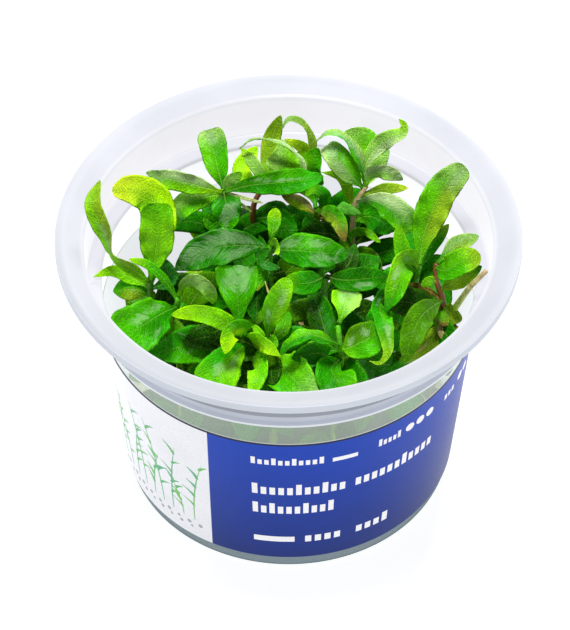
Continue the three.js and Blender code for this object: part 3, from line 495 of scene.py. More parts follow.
def blend(first, second, share):
    share = min(max(share, 0), 1)
    return tuple(a + (b - a) * share for a, b in zip(first, second))


def smooth_step(low, high, value):
    share = min(max((value - low) / (high - low), 0), 1)
    return share * share * (3 - 2 * share)


def seen(point):
    """The point at a real height that is seen at a place across and down the view."""
    across, down, height = point
    ray = VIEW_FORWARD + VIEW_UP * ((VIEW_CENTRE_DOWN - down) / VIEW_SCALE)
    ray.x += (across - VIEW_CENTRE_ACROSS) / VIEW_SCALE
    return VIEW_EYE + ray * ((height - VIEW_EYE.z) / ray.z)


class Curve:
    """A smooth line through points, read by its share of length."""

    STEPS = 24

    def __init__(self, points):
        points = [Vector(p) for p in points]
        before = points[0] * 2 - points[1]
        after = points[-1] * 2 - points[-2]
        line = [before, *points, after]
        self.samples = []
        for i in range(1, len(line) - 2):
            for k in range(self.STEPS):
                self.samples.append(self.between(line[i - 1:i + 3], k / self.STEPS))
        self.samples.append(points[-1])
        self.lengths = [0.0]
        for a, b in zip(self.samples, self.samples[1:]):
            self.lengths.append(self.lengths[-1] + (b - a).length)
        self.length = self.lengths[-1]

    @staticmethod
    def between(four, share):
        a, b, c, d = four
        first = math.sqrt((b - a).length)
        middle = math.sqrt((c - b).length)
        last = math.sqrt((d - c).length)
        leave = ((b - a) / first - (c - a) / (first + middle) + (c - b) / middle) * middle
        arrive = ((c - b) / middle - (d - b) / (middle + last) + (d - c) / last) * middle
        square = share * share
        cube = square * share
        return (b * (2 * cube - 3 * square + 1) + leave * (cube - 2 * square + share)
                + c * (3 * square - 2 * cube) + arrive * (cube - square))

    def at(self, share):
        target = min(max(share, 0), 1) * self.length
        low, high = 0, len(self.lengths) - 1
        while high - low > 1:
            middle = (low + high) // 2
            if self.lengths[middle] <= target:
                low = middle
            else:
                high = middle
        span = self.lengths[high] - self.lengths[low]
        return self.samples[low].lerp(self.samples[high], (target - self.lengths[low]) / span)

    def heading(self, share):
        return (self.at(share + HEADING_STEP) - self.at(share - HEADING_STEP)).normalized()

    def face_view(self):
        """Which way a blade faces at each step: towards the view, yet never turning over."""
        self.facings = []
        for i in range(FACING_STEPS + 1):
            place = self.at(i / FACING_STEPS)
            along = self.heading(i / FACING_STEPS)
            wanted = (VIEW_EYE - place).normalized()
            wanted -= along * wanted.dot(along)
            pull = FACING_PULL * wanted.length_squared
            wanted.normalize()
            if i > 0:
                carried = self.facings[-1] - along * self.facings[-1].dot(along)
                carried.normalize()
                if carried.dot(wanted) < 0:
                    wanted.negate()
                wanted = carried.lerp(wanted, pull).normalized()
            self.facings.append(wanted)

    def facing(self, share):
        place = min(max(share, 0), 1) * FACING_STEPS
        before = min(int(place), FACING_STEPS - 1)
        return self.facings[before].lerp(self.facings[before + 1], place - before)

    def frame_at(self, share, turn):
        """Place, outward way and sideways way of a blade that is turned about its own line."""
        along = self.heading(share)
        facing = self.facing(share)
        facing = (facing - along * facing.dot(along)).normalized()
        across = facing.cross(along).normalized()
        angle = math.radians(turn)
        out = facing * math.cos(angle) + across * math.sin(angle)
        side = across * math.cos(angle) - facing * math.sin(angle)
        return self.at(share), out, side


def outline_at(outline, share):
    widest, foot, square, point = OUTLINES[outline]
    if share < widest:
        return math.sin(math.pi / 2 * share / widest) ** foot
    return max(1 - ((share - widest) / (1 - widest)) ** square, 0) ** point


def value_along(values, share):
    if not isinstance(values, tuple):
        return values
    place = share * (len(values) - 1)
    before = min(int(place), len(values) - 2)
    return values[before] + (values[before + 1] - values[before]) * (place - before)


def tapered(foot, top):
    """The radius of a stem as a function of the share along it."""
    return lambda share: foot + (top - foot) * share


stem_radius = tapered(1.2, 0.7)
cut_stem_radius = tapered(0.85, 0.65)


def root_of(curve, near):
    """Where a leaf leaves its stem: share along the stem, and the place."""
    shares = [i / ROOT_STEPS for i in range(ROOT_STEPS + 1)]
    share = min(shares, key=lambda s: (curve.at(s) - near).length)
    return share, curve.at(share)


def leaf_curve(stem, path):
    """The line of a separate leaf, which starts inside its stem's bark."""
    points = [seen(p) for p in path]
    share, place = root_of(stem, points[0])
    heading = (points[1] - place).normalized()
    along = stem.heading(share)
    slant = max(math.sqrt(max(1 - heading.dot(along) ** 2, 0)), LEAST_SLANT)
    clear = stem_radius(share) * ROOT_DEPTH / slant
    return Curve([place + heading * clear, *points[1:]])


class Skin:
    """Collects the faces of one piece, with the facts that its materials read."""

    def __init__(self):
        self.points = []
        self.faces = []
        self.slots = []
        self.ground = []
        self.facts = []
        self.shares = {"under": [], "edge": [], "sheen": []}

    def point(self, place, ground, fact=(0, 0, 0), under=0, edge=0, sheen=0):
        self.points.append(place * MM)
        self.ground.append(ground)
        self.facts.append(fact)
        for values, value in zip(self.shares.values(), (under, edge, sheen)):
            values.append(value)
        return len(self.points) - 1

    def face(self, corners, slot=0):
        self.faces.append(corners)
        self.slots.append(slot)

    def build(self, name, materials, sharp=None):
        mesh = bpy.data.meshes.new(name)
        mesh.from_pydata([tuple(p) for p in self.points], [], self.faces)
        for material in materials:
            mesh.materials.append(material)
        mesh.polygons.foreach_set("material_index", self.slots)
        mesh.polygons.foreach_set("use_smooth", [True] * len(self.faces))
        ground = mesh.color_attributes.new("ground", "FLOAT_COLOR", "POINT")
        ground.data.foreach_set("color", [v for c in self.ground for v in c])
        fact = mesh.attributes.new("blade", "FLOAT_VECTOR", "POINT")
        fact.data.foreach_set("vector", [v for f in self.facts for v in f])
        for label, values in self.shares.items():
            mesh.attributes.new(label, "FLOAT", "POINT").data.foreach_set("value", values)
        mesh.update()
        if sharp:
            mesh.set_sharp_from_angle(angle=math.radians(sharp))
        piece = bpy.data.objects.new(name, mesh)
        bpy.context.collection.objects.link(piece)
        return piece


# The tones hold light and shade as well as the leaf's own colour: a darker foot deep among the leaves, and a
# darker half turned from the light, are painted shade
def leaf_tone(tones, share, across):
    foot, left, right, tip = tones
    body = blend(right, left, smooth_step(*SIDE_TONE, across))
    body = blend(foot, body, smooth_step(*FOOT_TONE, share))
    return blend(body, tip, smooth_step(*TIP_TONE, share))


# How much painted sheen a place on a blade gets: the leaf's own amount and its shine spots
def painted_sheen_at(leaf, share, across):
    gloss = leaf["sheen"]
    for along, left, length, breadth in leaf["shine"]:
        far = ((share - along) / length) ** 2 + ((across - left) / breadth) ** 2
        gloss += PAINTED_SHINE_STRENGTH * math.exp(-far)
    return gloss


def add_blade(skin, curve, leaf, rings, columns, luck):
    """A thin leaf with a pressed midrib above, a raised one below, quilted between its side veins.

    Its edge is a little uneven and wavy."""
    curve.face_view()
    waves = curve.length / (WAVE_LENGTH[0] + WAVE_LENGTH[1] * luck.random())
    phase = luck.random() * FULL_TURN
    dents = curve.length / (DENT_LENGTH[0] + DENT_LENGTH[1] * luck.random())
    upper, lower = [], []
    for i in range(rings):
        share = 1 - (1 - i / rings) ** RING_CROWDING
        place, out, side = curve.frame_at(share, value_along(leaf["turn"], share))
        full = max(leaf["width"] * outline_at(leaf["outline"], share), STALK_WIDTH * (1 - share)) / 2
        full = max(full, TIP_WIDTH / 2)
        fold = math.radians(leaf["fold"])
        thick = STALK_THICKNESS + (BLADE_THICKNESS - STALK_THICKNESS) * smooth_step(*THINS, share)
        open_share = smooth_step(*OPENS, share)
        swell = leaf["wave"] * WAVE_HEIGHT * full * open_share
        above, below = [], []
        for k in range(columns):
            across = 2 * k / (columns - 1) - 1
            reach = abs(across)
            side_phase = phase + (LEFT_SHIFT if across > 0 else 0)
            dent = DENT_DEPTH * math.sin(dents * FULL_TURN * share + side_phase)
            dent += BULGE_DEPTH * math.sin(BULGE_RATE * share + BULGE_SHIFT * side_phase)
            half = full * (1 + open_share * dent)
            lift = half * (math.sin(fold) * reach + leaf["bow"] * (reach ** 2 - reach))
            lift += swell * reach ** 2 * math.sin(waves * FULL_TURN * share + side_phase)
            slanted = share * curve.length - VEIN_SLANT * (reach * half) ** VEIN_BEND
            quilt = open_share * QUILTING * math.cos(FULL_TURN * slanted / VEIN_SPACING)
            lift += quilt * reach * (1 - reach) * 4
            middle = place + side * (half * across * math.cos(fold)) + out * lift
            body = thick / 2 * (1 - EDGE_THINNING * reach ** 1.5)
            rib = max(0, 1 - reach * half / RIB_WIDTH)
            tone = leaf_tone(leaf["tones"], share, across)
            fact = (share, across * half, curve.length)
            spot = middle + out * (body - RIB_FURROW * body * rib)
            gloss = painted_sheen_at(leaf, share, across)
            above.append(skin.point(spot, tone, fact, 0, reach, gloss))
            if 0 < k < columns - 1:
                spot = middle - out * (body + RIB_RIDGE * body * rib)
                below.append(skin.point(spot, tone, fact, 1, reach, gloss))
            else:
                below.append(above[-1])
        upper.append(above)
        lower.append(below)
    end = skin.point(curve.at(1), leaf["tones"][3], (1, 0, curve.length), 0, 1, leaf["sheen"])
    for i in range(rings - 1):
        for k in range(columns - 1):
            skin.face((upper[i][k], upper[i + 1][k], upper[i + 1][k + 1], upper[i][k + 1]))
            skin.face((lower[i][k], lower[i][k + 1], lower[i + 1][k + 1], lower[i + 1][k]))
    for k in range(columns - 1):
        skin.face((upper[-1][k], end, upper[-1][k + 1]))
        skin.face((lower[-1][k], lower[-1][k + 1], end))
    skin.face(tuple(upper[0] + lower[0][-2:0:-1]))


def add_tube(skin, curve, radius, rings, sides, tone, luck, slot=0):
    """A round stem; radius and tone are functions of the share along it."""
    rows = []
    for i in range(rings):
        share = i / (rings - 1)
        place = curve.at(share)
        along = curve.heading(share)
        first = Vector((1, 0, 0)) - along * along.x
        first.normalize()
        second = along.cross(first)
        size = radius(share) * (1 + STEM_UNEVENNESS * (luck.random() - 0.5))
        row = []
        for k in range(sides):
            angle = 2 * math.pi * k / sides
            spot = place + first * (size * math.cos(angle)) + second * (size * math.sin(angle))
            row.append(skin.point(spot, tone(share), (share, 0, curve.length)))
        rows.append(row)
    for a, b in zip(rows, rows[1:]):
        for k in range(sides):
            skin.face((a[k], a[(k + 1) % sides], b[(k + 1) % sides], b[k]), slot)
    skin.face(tuple(reversed(rows[0])), slot)
    top = curve.at(1) + curve.heading(1) * radius(1) * CROWN_HEIGHT
    crown = skin.point(top, tone(1), (1, 0, curve.length))
    for k in range(sides):
        skin.face((rows[-1][k], rows[-1][(k + 1) % sides], crown), slot)


# Materials
class Wire:
    """What comes out of a node; sums, products and the like of wires are Math nodes."""

    def __init__(self, maker, socket):
        self.maker = maker
        self.socket = socket

    def __add__(self, other):
        return self.maker.calc("ADD", self, other)

    def __radd__(self, other):
        return self.maker.calc("ADD", other, self)

    def __sub__(self, other):
        return self.maker.calc("SUBTRACT", self, other)

    def __rsub__(self, other):
        return self.maker.calc("SUBTRACT", other, self)

    def __mul__(self, other):
        return self.maker.calc("MULTIPLY", self, other)

    def __truediv__(self, other):
        return self.maker.calc("DIVIDE", self, other)

    def __pow__(self, other):
        return self.maker.calc("POWER", self, other)

    def __abs__(self):
        return self.maker.calc("ABSOLUTE", self)


class Maker:
    """One material in the making; inputs of a node are fed by name or number."""

    def __init__(self, name):
        self.material = bpy.data.materials.new(name)
        self.material.use_nodes = True
        self.tree = self.material.node_tree
        self.shader = self.tree.nodes["Principled BSDF"]

    def feed(self, node, inputs):
        for key, value in inputs.items():
            if isinstance(value, Wire):
                self.tree.links.new(value.socket, node.inputs[key])
            else:
                node.inputs[key].default_value = value

    def put(self, kind, inputs, **settings):
        node = self.tree.nodes.new(kind)
        for key, value in settings.items():
            setattr(node, key, value)
        self.feed(node, inputs)
        return node

    def wire(self, kind, inputs, output=0, **settings):
        return Wire(self, self.put(kind, inputs, **settings).outputs[output])

    def calc(self, operation, *values):
        return self.wire("ShaderNodeMath", dict(enumerate(values)), operation=operation)

    def spread(self, value, low, high, to_low=0.0, to_high=1.0):
        """The value, moved smoothly from the range of low and high to another one."""
        inputs = dict(enumerate((value, low, high, to_low, to_high)))
        return self.wire("ShaderNodeMapRange", inputs, interpolation_type="SMOOTHSTEP")

    def mixed(self, factor, first, second, way="MIX"):
        inputs = {"Factor": factor, 6: first, 7: second}
        return self.wire("ShaderNodeMix", inputs, 2, data_type="RGBA", blend_type=way)

    def tinted(self, first, second):
        return self.mixed(1.0, first, second, "MULTIPLY")

    def shaded(self, tone, shade):
        return self.tinted(tone, self.wire("ShaderNodeCombineColor", {0: shade, 1: shade, 2: shade}))

    def grain(self, scale, detail, roughness, distortion=0.0, place=None):
        place = place or self.wire("ShaderNodeTexCoord", {}, "Object")
        return self.wire("ShaderNodeTexNoise", {
            "Vector": place, "Scale": scale, "Detail": detail, "Roughness": roughness,
            "Distortion": distortion,
        }, "Fac")

    def bumped(self, height, strength, distance):
        return self.wire("ShaderNodeBump", {"Strength": strength, "Distance": distance, "Height": height})

    def fact(self, name, output="Fac"):
        """A fact that comes from the mesh."""
        return self.wire("ShaderNodeAttribute", {}, output, attribute_name=name)

    def blade_facts(self):
        split = self.put("ShaderNodeSeparateXYZ", {0: self.fact("blade", "Vector")})
        return [Wire(self, socket) for socket in split.outputs]

    def glow(self, tone, strength):
        """Painted light: an emission stands in for the light that comes through the material and takes the
        place of as much light from outside.
        """
        self.finish({
            "Base Color": self.shaded(tone, 1 - strength),
            "Emission Color": tone,
            "Emission Strength": strength,
        })

    def finish(self, inputs):
        self.feed(self.shader, inputs)
        return self.material


# What a leaf's tone is multiplied by where shade is painted in its hollows and beside its midrib and in the
# cells of its vein net, what it is lifted and multiplied by on its veins and where light is painted, and
# what its tone leans to
SHADE_AND_CELL_TINT = (0.36, 0.56, 0.4, 1)
VEIN_AND_HIGHLIGHT_LIFT = (0.03, 0.07, 0.0, 1)
VEIN_AND_HIGHLIGHT_TINT = (1.65, 1.5, 1.2, 1)
MIDRIB_TONE = (0.45, 0.66, 0.15, 1)
UNDERSIDE_TONE = (0.2, 0.32, 0.12, 1)


def leaf_material():
    """Colour comes from the mesh; veins, their net, a pale edge with a painted rim highlight, a painted grey
    sheen and painted shade in hollows are made here.
    """
    make = Maker("leaf_skin")
    ground = make.fact("ground", "Color")
    share, across, length = make.blade_facts()
    under, edge, sheen = (make.fact(name) for name in ("under", "edge", "sheen"))
    reach = abs(across)
    along = share * length
    broad = make.grain(120, 2, 0.5)
    patch = make.grain(300, 3, 0.55, 0.6)
    fine = make.grain(1500, 2, 0.5)

    # Side veins leave the midrib at a slant and bend towards the tip
    slanted = along - reach ** VEIN_BEND * VEIN_SLANT
    place = (slanted + (patch - 0.5) * VEIN_JITTER) / VEIN_SPACING
    off = abs(make.calc("FRACT", place) - 0.5)
    vein = make.spread(off, 0.41, 0.485)
    furrow = make.spread(off, 0.12, 0.36)

    # A fine net of veins fills the blade between them
    spot = make.wire("ShaderNodeCombineXYZ", {0: across + patch, 1: along + patch * 0.8})
    net = make.wire("ShaderNodeTexVoronoi", {"Scale": 1.5, "Vector": spot}, "Distance",
                    feature="DISTANCE_TO_EDGE")
    thread = make.spread(net, 0.16, 0.04) * make.spread(patch, 0.35, 0.6, 0.3, 1.0)

    # Ragged streaks along the side veins, different on every leaf, carry a painted grey sheen, a reflection
    # painted into the colour; yellow leaves have less of it
    green_leaf = make.spread(make.wire("ShaderNodeSeparateColor", {0: ground}), 0.15, 0.45, 1.0, 0.25)
    streak = make.wire("ShaderNodeCombineXYZ", {0: slanted * 0.42, 1: across * 0.26, 2: length * 7.3})
    ragged = make.grain(1, 4, 0.6, 0.8, streak)
    need = 0.72 - sheen * 0.3
    gloss = make.spread(ragged, need, need + 0.2) * make.spread(fine, 0.3, 0.6, 0.8, 1.0)
    gloss = gloss * (1 - thread * 0.5) * green_leaf

    width = (1.15 - share) * 0.28
    midrib = make.spread(reach, width, width * 0.45)
    beside = make.spread(reach, 1.5, 0.3)

    shade = make.spread(broad, 0.3, 0.7, 0.78, 1.2) * make.spread(fine, 0.3, 0.7, 0.92, 1.08)
    base = make.shaded(ground, 1 + (shade - 1) * green_leaf)
    dark = make.tinted(base, SHADE_AND_CELL_TINT)
    # Painted shade: darker in ragged hollows and beside the pressed midrib; the cells of the vein net are
    # darker too, which is their own colour
    base = make.mixed(make.spread(ragged, 0.5, 0.32) * 0.5 * green_leaf, base, dark)
    base = make.mixed(beside * 0.3, base, dark)
    base = make.mixed((1 - thread) * 0.2 * green_leaf, base, dark)
    # A lighter tone for veins and midrib, and for the painted light on the quilting and the painted rim
    # highlight on the edge
    lighter = make.tinted(make.mixed(1.0, base, VEIN_AND_HIGHLIGHT_LIFT, "ADD"), VEIN_AND_HIGHLIGHT_TINT)
    base = make.mixed(thread * 0.45, base, lighter)
    # Painted light on the quilting: a little lighter midway between the side veins
    base = make.mixed((1 - furrow) * 0.1, base, lighter)
    base = make.mixed(vein * 0.95, base, lighter)
    # The painted sheen, a grey reflection mixed into the colour
    base = make.mixed(gloss * 0.85, base, make.mixed(0.6, base, PAINTED_SHEEN_TONE))
    # A paler margin, partly the leaf's own colour and partly a painted rim highlight
    base = make.mixed(make.spread(edge, 0.72, 1.0) * 0.55, base, lighter)
    base = make.mixed(midrib * 0.5, base, make.mixed(0.3, lighter, MIDRIB_TONE))
    base = make.mixed(under * 0.8, base, make.mixed(0.3, base, UNDERSIDE_TONE))
    height = vein * -1.0 + midrib * -1.0 + thread * -0.8 + patch * 2.0 + fine * 0.4
    return make.finish({
        "Base Color": base,
        "Roughness": 0.34 + (patch - 0.5) * 0.5 + under * 0.1,
        "Normal": make.bumped(height, 0.7, 0.0003),
        "IOR": 1.45,
        "Specular IOR Level": 0.1,
    })


def stem_material():
    make = Maker("stem_skin")
    streaks = make.grain(700, 3, 0.6, 0.4)
    return make.finish({
        "Base Color": make.shaded(make.fact("ground", "Color"), make.spread(streaks, 0.3, 0.7, 0.6, 1.3)),
        "Roughness": make.spread(streaks, 0.2, 0.8, 0.3, 0.55),
        "Normal": make.bumped(streaks, 0.5, 0.0002),
    })


def cup_material():
    """Milky plastic: tone and solidity come from the mesh, with faint clouding and moulding marks."""
    make = Maker("cup_plastic")
    haze = make.grain(45, 3, 0.5)
    tone = make.shaded(make.fact("ground", "Color"), make.spread(haze, 0.3, 0.7, 0.96, 1.03))
    make.glow(tone, make.blade_facts()[0])
    slant = make.wire("ShaderNodeLayerWeight", {"Blend": 0.3}, "Facing")
    return make.finish({
        "Alpha": make.calc("MINIMUM", make.fact("under") + slant * 0.25, 0.98),
        "Roughness": make.spread(haze, 0.2, 0.8, 0.32, 0.46),
        "Normal": make.bumped(make.grain(1500, 2, 0.5), 0.1, 0.0001),
        "IOR": 1.49,
        "Specular IOR Level": 0.18,
    })


def gel_material():
    """Set gel, clear by the wall and dark in the middle, where it holds roots and where shade under the
    plants is painted.
    """
    make = Maker("gel")
    cloud = make.grain(90, 4, 0.6)
    fibre = make.grain(420, 4, 0.7, 1.5)
    body = make.shaded(make.fact("ground", "Color"), make.spread(cloud, 0.3, 0.7, 0.7, 1.2))
    return make.finish({
        "Base Color": make.mixed(make.spread(fibre, 0.55, 0.7) * 0.5, body, TONES["brown"]),
        "Roughness": make.spread(cloud, 0.2, 0.8, 0.05, 0.2),
        "Normal": make.bumped(cloud, 0.4, 0.001),
        "Alpha": 0.85,
        "IOR": 1.34,
    })


def label_material():
    """Printed film: the colour comes from the mesh, with a faint film grain and gloss."""
    make = Maker("label_film")
    glow, away, height = make.blade_facts()
    half_width = BLUE_HALF_WIDTH + BLUE_SPREAD - height / LABEL_TOP * BLUE_SPREAD
    white = make.spread(away - half_width, -0.1, 0.1)
    cloud = make.spread(make.grain(60, 3, 0.5), 0.25, 0.75, 0.97, 1.03)
    dots = make.spread(make.grain(2600, 1, 0.5), 0.3, 0.7, 0.95, 1.05)
    fine = make.grain(3500, 1, 0.5)
    tone = make.shaded(make.mixed(white, make.fact("ground", "Color"), WHITE), cloud * dots)
    make.glow(tone, make.calc("MAXIMUM", glow, white * FILM_WHITE_GLOW))
    return make.finish({
        "Roughness": make.spread(fine, 0.2, 0.8, 0.28, 0.4),
        "Normal": make.bumped(fine, 0.08, 0.00005),
        "Specular IOR Level": 0.12,
    })


# Cup, label and gel
def wall_radius(height):
    share = (height - 1) / (SHOULDER_HEIGHT - 1)
    return BODY_FOOT_RADIUS + (BODY_TOP_RADIUS - BODY_FOOT_RADIUS) * share


# Each part of the cup's section: its tone, and how strongly it glows, painted light that stands in for the
# light that comes through
CUP_LOOKS = {
    "rim": (colour(216, 218, 226), 0.75),
    "skirt": (colour(216, 222, 232), 0.6),
    "ring": (colour(226, 230, 238), 0.6),
    # Painted shadow below the shoulder
    "under": (colour(92, 100, 106), 0.5),
    # Painted shadow under the rim
    "shade": (colour(102, 112, 128), 0.5),
    "neck": (colour(172, 180, 198), 0.5),
    "wall": (colour(214, 238, 214), 0.85),
    "foot": (colour(84, 112, 124), 0.3),
    "inside": (colour(247, 246, 251), 0.9),
    "groove": (colour(236, 237, 244), 0.8),
    "ledge": (colour(229, 229, 238), 0.9),
    # Painted shade in the crease inside the shoulder
    "crease": (colour(214, 214, 223), 0.8),
    "lower": (colour(234, 234, 241), 0.9),
}

# How much paler each part is painted at the back, painted light where more light falls, how much painted
# shade dulls the rim at the front left, and how much more solid the lower wall's inner side is at the back
BACK_LIGHT = {"rim": 0.08, "groove": 0.04, "inside": 0.02}
FRONT_LEFT = math.radians(228)
RIM_PAINTED_SHADE = 0.09
BACK_FIRM = 0.6
MOST_FIRM = 0.95


def cup_tone(angle, height, kind):
    # Painted light: paler towards the back; painted shade on the rim and skirt at the front left
    share = 1 + BACK_LIGHT.get(kind, 0) * math.sin(angle)
    if kind in ("rim", "skirt"):
        share -= RIM_PAINTED_SHADE * max(math.cos(angle - FRONT_LEFT), 0) ** 3
    red, green, blue, _ = CUP_LOOKS[kind][0]
    return (red * share, green * share, blue * share, 1)


def cup_fact(angle, height, kind):
    return (CUP_LOOKS[kind][1], 0, height)


def cup_firm(angle, solid, kind):
    """The lower wall's inner side is more solid at the back, where the light ground shows through it."""
    if kind == "lower":
        return min(solid + BACK_FIRM * max(math.sin(angle), 0), MOST_FIRM)
    return solid


def cup_profile():
    """Radius, height, how solid the plastic looks there, and its part, once round the cup's section."""
    skirt = RIM_HEIGHT - RIM_SKIRT
    neck_top = RIM_HEIGHT - 1.8
    floor_top = FOOT_RECESS + WALL
    outer_lip = RIM_RADIUS - WALL
    clear, wall, foot, milky, neck, rim = 0.06, 0.22, 0.75, 0.8, 0.72, 0.95
    body = BODY_TOP_RADIUS
    return [
        (0, FOOT_RECESS, clear, "wall"),
        (BODY_FOOT_RADIUS - 6, FOOT_RECESS, clear, "wall"),
        (BODY_FOOT_RADIUS - 5, 0.05, wall, "foot"),
        (BODY_FOOT_RADIUS - 4.8, 0, foot, "foot"),
        (BODY_FOOT_RADIUS - 0.9, 0, foot, "foot"),
        (BODY_FOOT_RADIUS - 0.25, 0.3, foot, "foot"),
        (BODY_FOOT_RADIUS, 1, foot, "foot"),
        (wall_radius(LABEL_BOTTOM + 0.5), LABEL_BOTTOM + 0.5, foot, "foot"),
        (wall_radius(20), 20, clear, "wall"),
        (wall_radius(40), 40, clear, "wall"),
        (wall_radius(60), 60, wall, "wall"),
        (wall_radius(SHOULDER_HEIGHT - 1.7), SHOULDER_HEIGHT - 1.7, wall, "wall"),
        (body, SHOULDER_HEIGHT - 1.3, 0.6, "under"),
        (body + 0.1, SHOULDER_HEIGHT - 0.4, rim, "under"),
        (body + 0.5, SHOULDER_HEIGHT - 0.05, rim, "under"),
        (NECK_FOOT_RADIUS - 0.6, SHOULDER_HEIGHT, rim, "ring"),
        (NECK_FOOT_RADIUS - 0.1, SHOULDER_HEIGHT + 0.12, rim, "ring"),
        (NECK_FOOT_RADIUS, SHOULDER_HEIGHT + 0.85, rim, "ring"),
        (NECK_FOOT_RADIUS + 0.01, SHOULDER_HEIGHT + 1.0, neck, "neck"),
        (NECK_FOOT_RADIUS + 0.05, SHOULDER_HEIGHT + 3.9, neck, "neck"),
        (NECK_FOOT_RADIUS + 0.06, SHOULDER_HEIGHT + 4.2, neck, "shade"),
        (NECK_RADIUS, skirt - 1, neck, "shade"),
        (NECK_RADIUS + 0.15, skirt - 0.7, milky, "shade"),
        (NECK_RADIUS + 0.7, skirt - 0.5, milky, "shade"),
        (outer_lip - 0.3, RIM_HEIGHT - 1.25, rim, "neck"),
        (outer_lip, RIM_HEIGHT - 1.5, rim, "neck"),
        (outer_lip, skirt + 0.1, rim, "skirt"),
        (outer_lip + 0.1, skirt, rim, "skirt"),
        (RIM_RADIUS - 0.1, skirt, rim, "skirt"),
        (RIM_RADIUS, skirt + 0.1, rim, "skirt"),
        (RIM_RADIUS, RIM_HEIGHT - 0.45, rim, "skirt"),
        (RIM_RADIUS - 0.15, RIM_HEIGHT - 0.1, rim, "skirt"),
        (RIM_RADIUS - 0.5, RIM_HEIGHT, rim, "rim"),
        (RIM_RADIUS - 3, RIM_HEIGHT - 0.65, rim, "rim"),
        (NECK_RADIUS + 0.4, neck_top + 0.08, rim, "rim"),
        (NECK_RADIUS - WALL + 0.5, neck_top - 0.15, rim, "groove"),
        (NECK_RADIUS - WALL + 0.1, neck_top - 0.6, rim, "groove"),
        (NECK_RADIUS - WALL, neck_top - 1.4, rim, "inside"),
        (NECK_RADIUS - WALL - 0.1, SHOULDER_HEIGHT + 6, rim, "inside"),
        (NECK_FOOT_RADIUS - WALL, SHOULDER_HEIGHT + 1.6, rim, "inside"),
        (NECK_FOOT_RADIUS - WALL - 0.2, SHOULDER_HEIGHT + 1, rim, "groove"),
        (NECK_FOOT_RADIUS - WALL - 0.7, SHOULDER_HEIGHT + 0.75, rim, "ledge"),
        (body - 0.3, SHOULDER_HEIGHT + 0.7, rim, "ledge"),
        (body - WALL + 0.1, SHOULDER_HEIGHT + 0.3, milky, "crease"),
        (body - WALL, SHOULDER_HEIGHT - 0.5, 0.14, "lower"),
        (wall_radius(60) - WALL, 60, 0.08, "lower"),
        (wall_radius(40) - WALL, 40, 0.2, "lower"),
        (wall_radius(20) - WALL, 20, 0.2, "lower"),
        (BODY_FOOT_RADIUS - WALL, floor_top + 1, clear, "wall"),
        (BODY_FOOT_RADIUS - WALL - 0.3, floor_top + 0.3, clear, "wall"),
        (BODY_FOOT_RADIUS - WALL - 1, floor_top, clear, "wall"),
        (0, floor_top, clear, "wall"),
    ]

def same_all_round(angle, solid, kind):
    return solid


def add_lathe(skin, profile, sides, tone, fact, closed=False, firm=same_all_round):
    """Turns a section into a round body: radius, height, solidity, and what tone and facts depend on."""
    rows = []
    for radius, height, solid, kind in profile:
        row = []
        for k in range(sides if radius > 0 else 1):
            angle = 2 * math.pi * k / sides
            spot = Vector((radius * math.cos(angle), radius * math.sin(angle), height))
            rate = firm(angle, solid, kind)
            row.append(skin.point(spot, tone(angle, height, kind), fact(angle, height, kind), rate))
        rows.append(row)
    following = rows[1:] + rows[:1] if closed else rows[1:]
    for a, b in zip(rows, following):
        for k in range(sides):
            after = (k + 1) % sides
            if len(a) == 1:
                skin.face((a[0], b[after], b[k]))
            elif len(b) == 1:
                skin.face((a[k], a[after], b[0]))
            else:
                skin.face((a[k], a[after], b[after], b[k]))


# The gel's tone by the wall, and in the middle, where it is dark with roots and with painted shade under the
# plants
GEL_TONES = {"clear": colour(214, 214, 190), "rooted": colour(44, 58, 20)}

WHITE = colour(238, 240, 246)
MARK_WHITE = colour(250, 250, 253)
BLUE_TOP = colour(0, 68, 194)
BLUE_FOOT = colour(24, 52, 138)
GREEN_INK = colour(84, 174, 128)
LEAF_INK = colour(122, 194, 96)
GREY_INK = colour(168, 172, 178)
EDGE_LINE = colour(34, 42, 58)
# Glow of the film's inner side, and of its white field and printed marks: painted light that stands in for
# light coming through the film
FILM_INNER_GLOW = 0.95
FILM_WHITE_GLOW = 0.6

# The blue field: its middle and half its width in degrees, and how much wider it is at the foot
BLUE_MIDDLE = 43.5
BLUE_HALF_WIDTH = 68.5
BLUE_SPREAD = 2


def label_tone(angle, height, kind):
    if kind == "inner":
        return WHITE
    if kind == "edge":
        return EDGE_LINE
    share = (height - LABEL_BOTTOM) / (LABEL_TOP - LABEL_BOTTOM)
    return blend(BLUE_FOOT, BLUE_TOP, share)


def label_fact(angle, height, kind):
    """Glow, degrees from the middle of the blue field, and height in mm."""
    if kind == "inner":
        return (FILM_INNER_GLOW, 0, height)
    if kind == "edge":
        return (0, 0, height)
    from_front = (math.degrees(angle) + 90 + 180) % 360 - 180
    away = abs((from_front - BLUE_MIDDLE + 180) % 360 - 180)
    return (0, away, height)


def on_label(degrees, height, lift):
    """A place on the sleeve: degrees from the cup's front, positive to the right, and height in mm."""
    angle = math.radians(degrees - 90)
    radius = wall_radius(height) + FIT_GAP + LABEL_THICKNESS + lift
    return Vector((radius * math.cos(angle), radius * math.sin(angle), height))


def add_print(skin, outline, ink):
    """A flat printed shape, wrapped on the sleeve: outline holds degrees round and heights in mm."""
    glow = (FILM_WHITE_GLOW, 0, 0)
    top = [skin.point(on_label(d, h, PRINT_THICKNESS), ink, glow) for d, h in outline]
    foot = [skin.point(on_label(d, h, PRINT_FOOT), ink, glow) for d, h in outline]
    count = len(outline)
    for k in range(count // 2 - 1):
        a, b, c, d = k, k + 1, count - 2 - k, count - 1 - k
        skin.face((top[a], top[b], top[c], top[d]))
        skin.face((foot[d], foot[c], foot[b], foot[a]))
    for k in range(count):
        after = (k + 1) % count
        skin.face((foot[k], foot[after], top[after], top[k]))


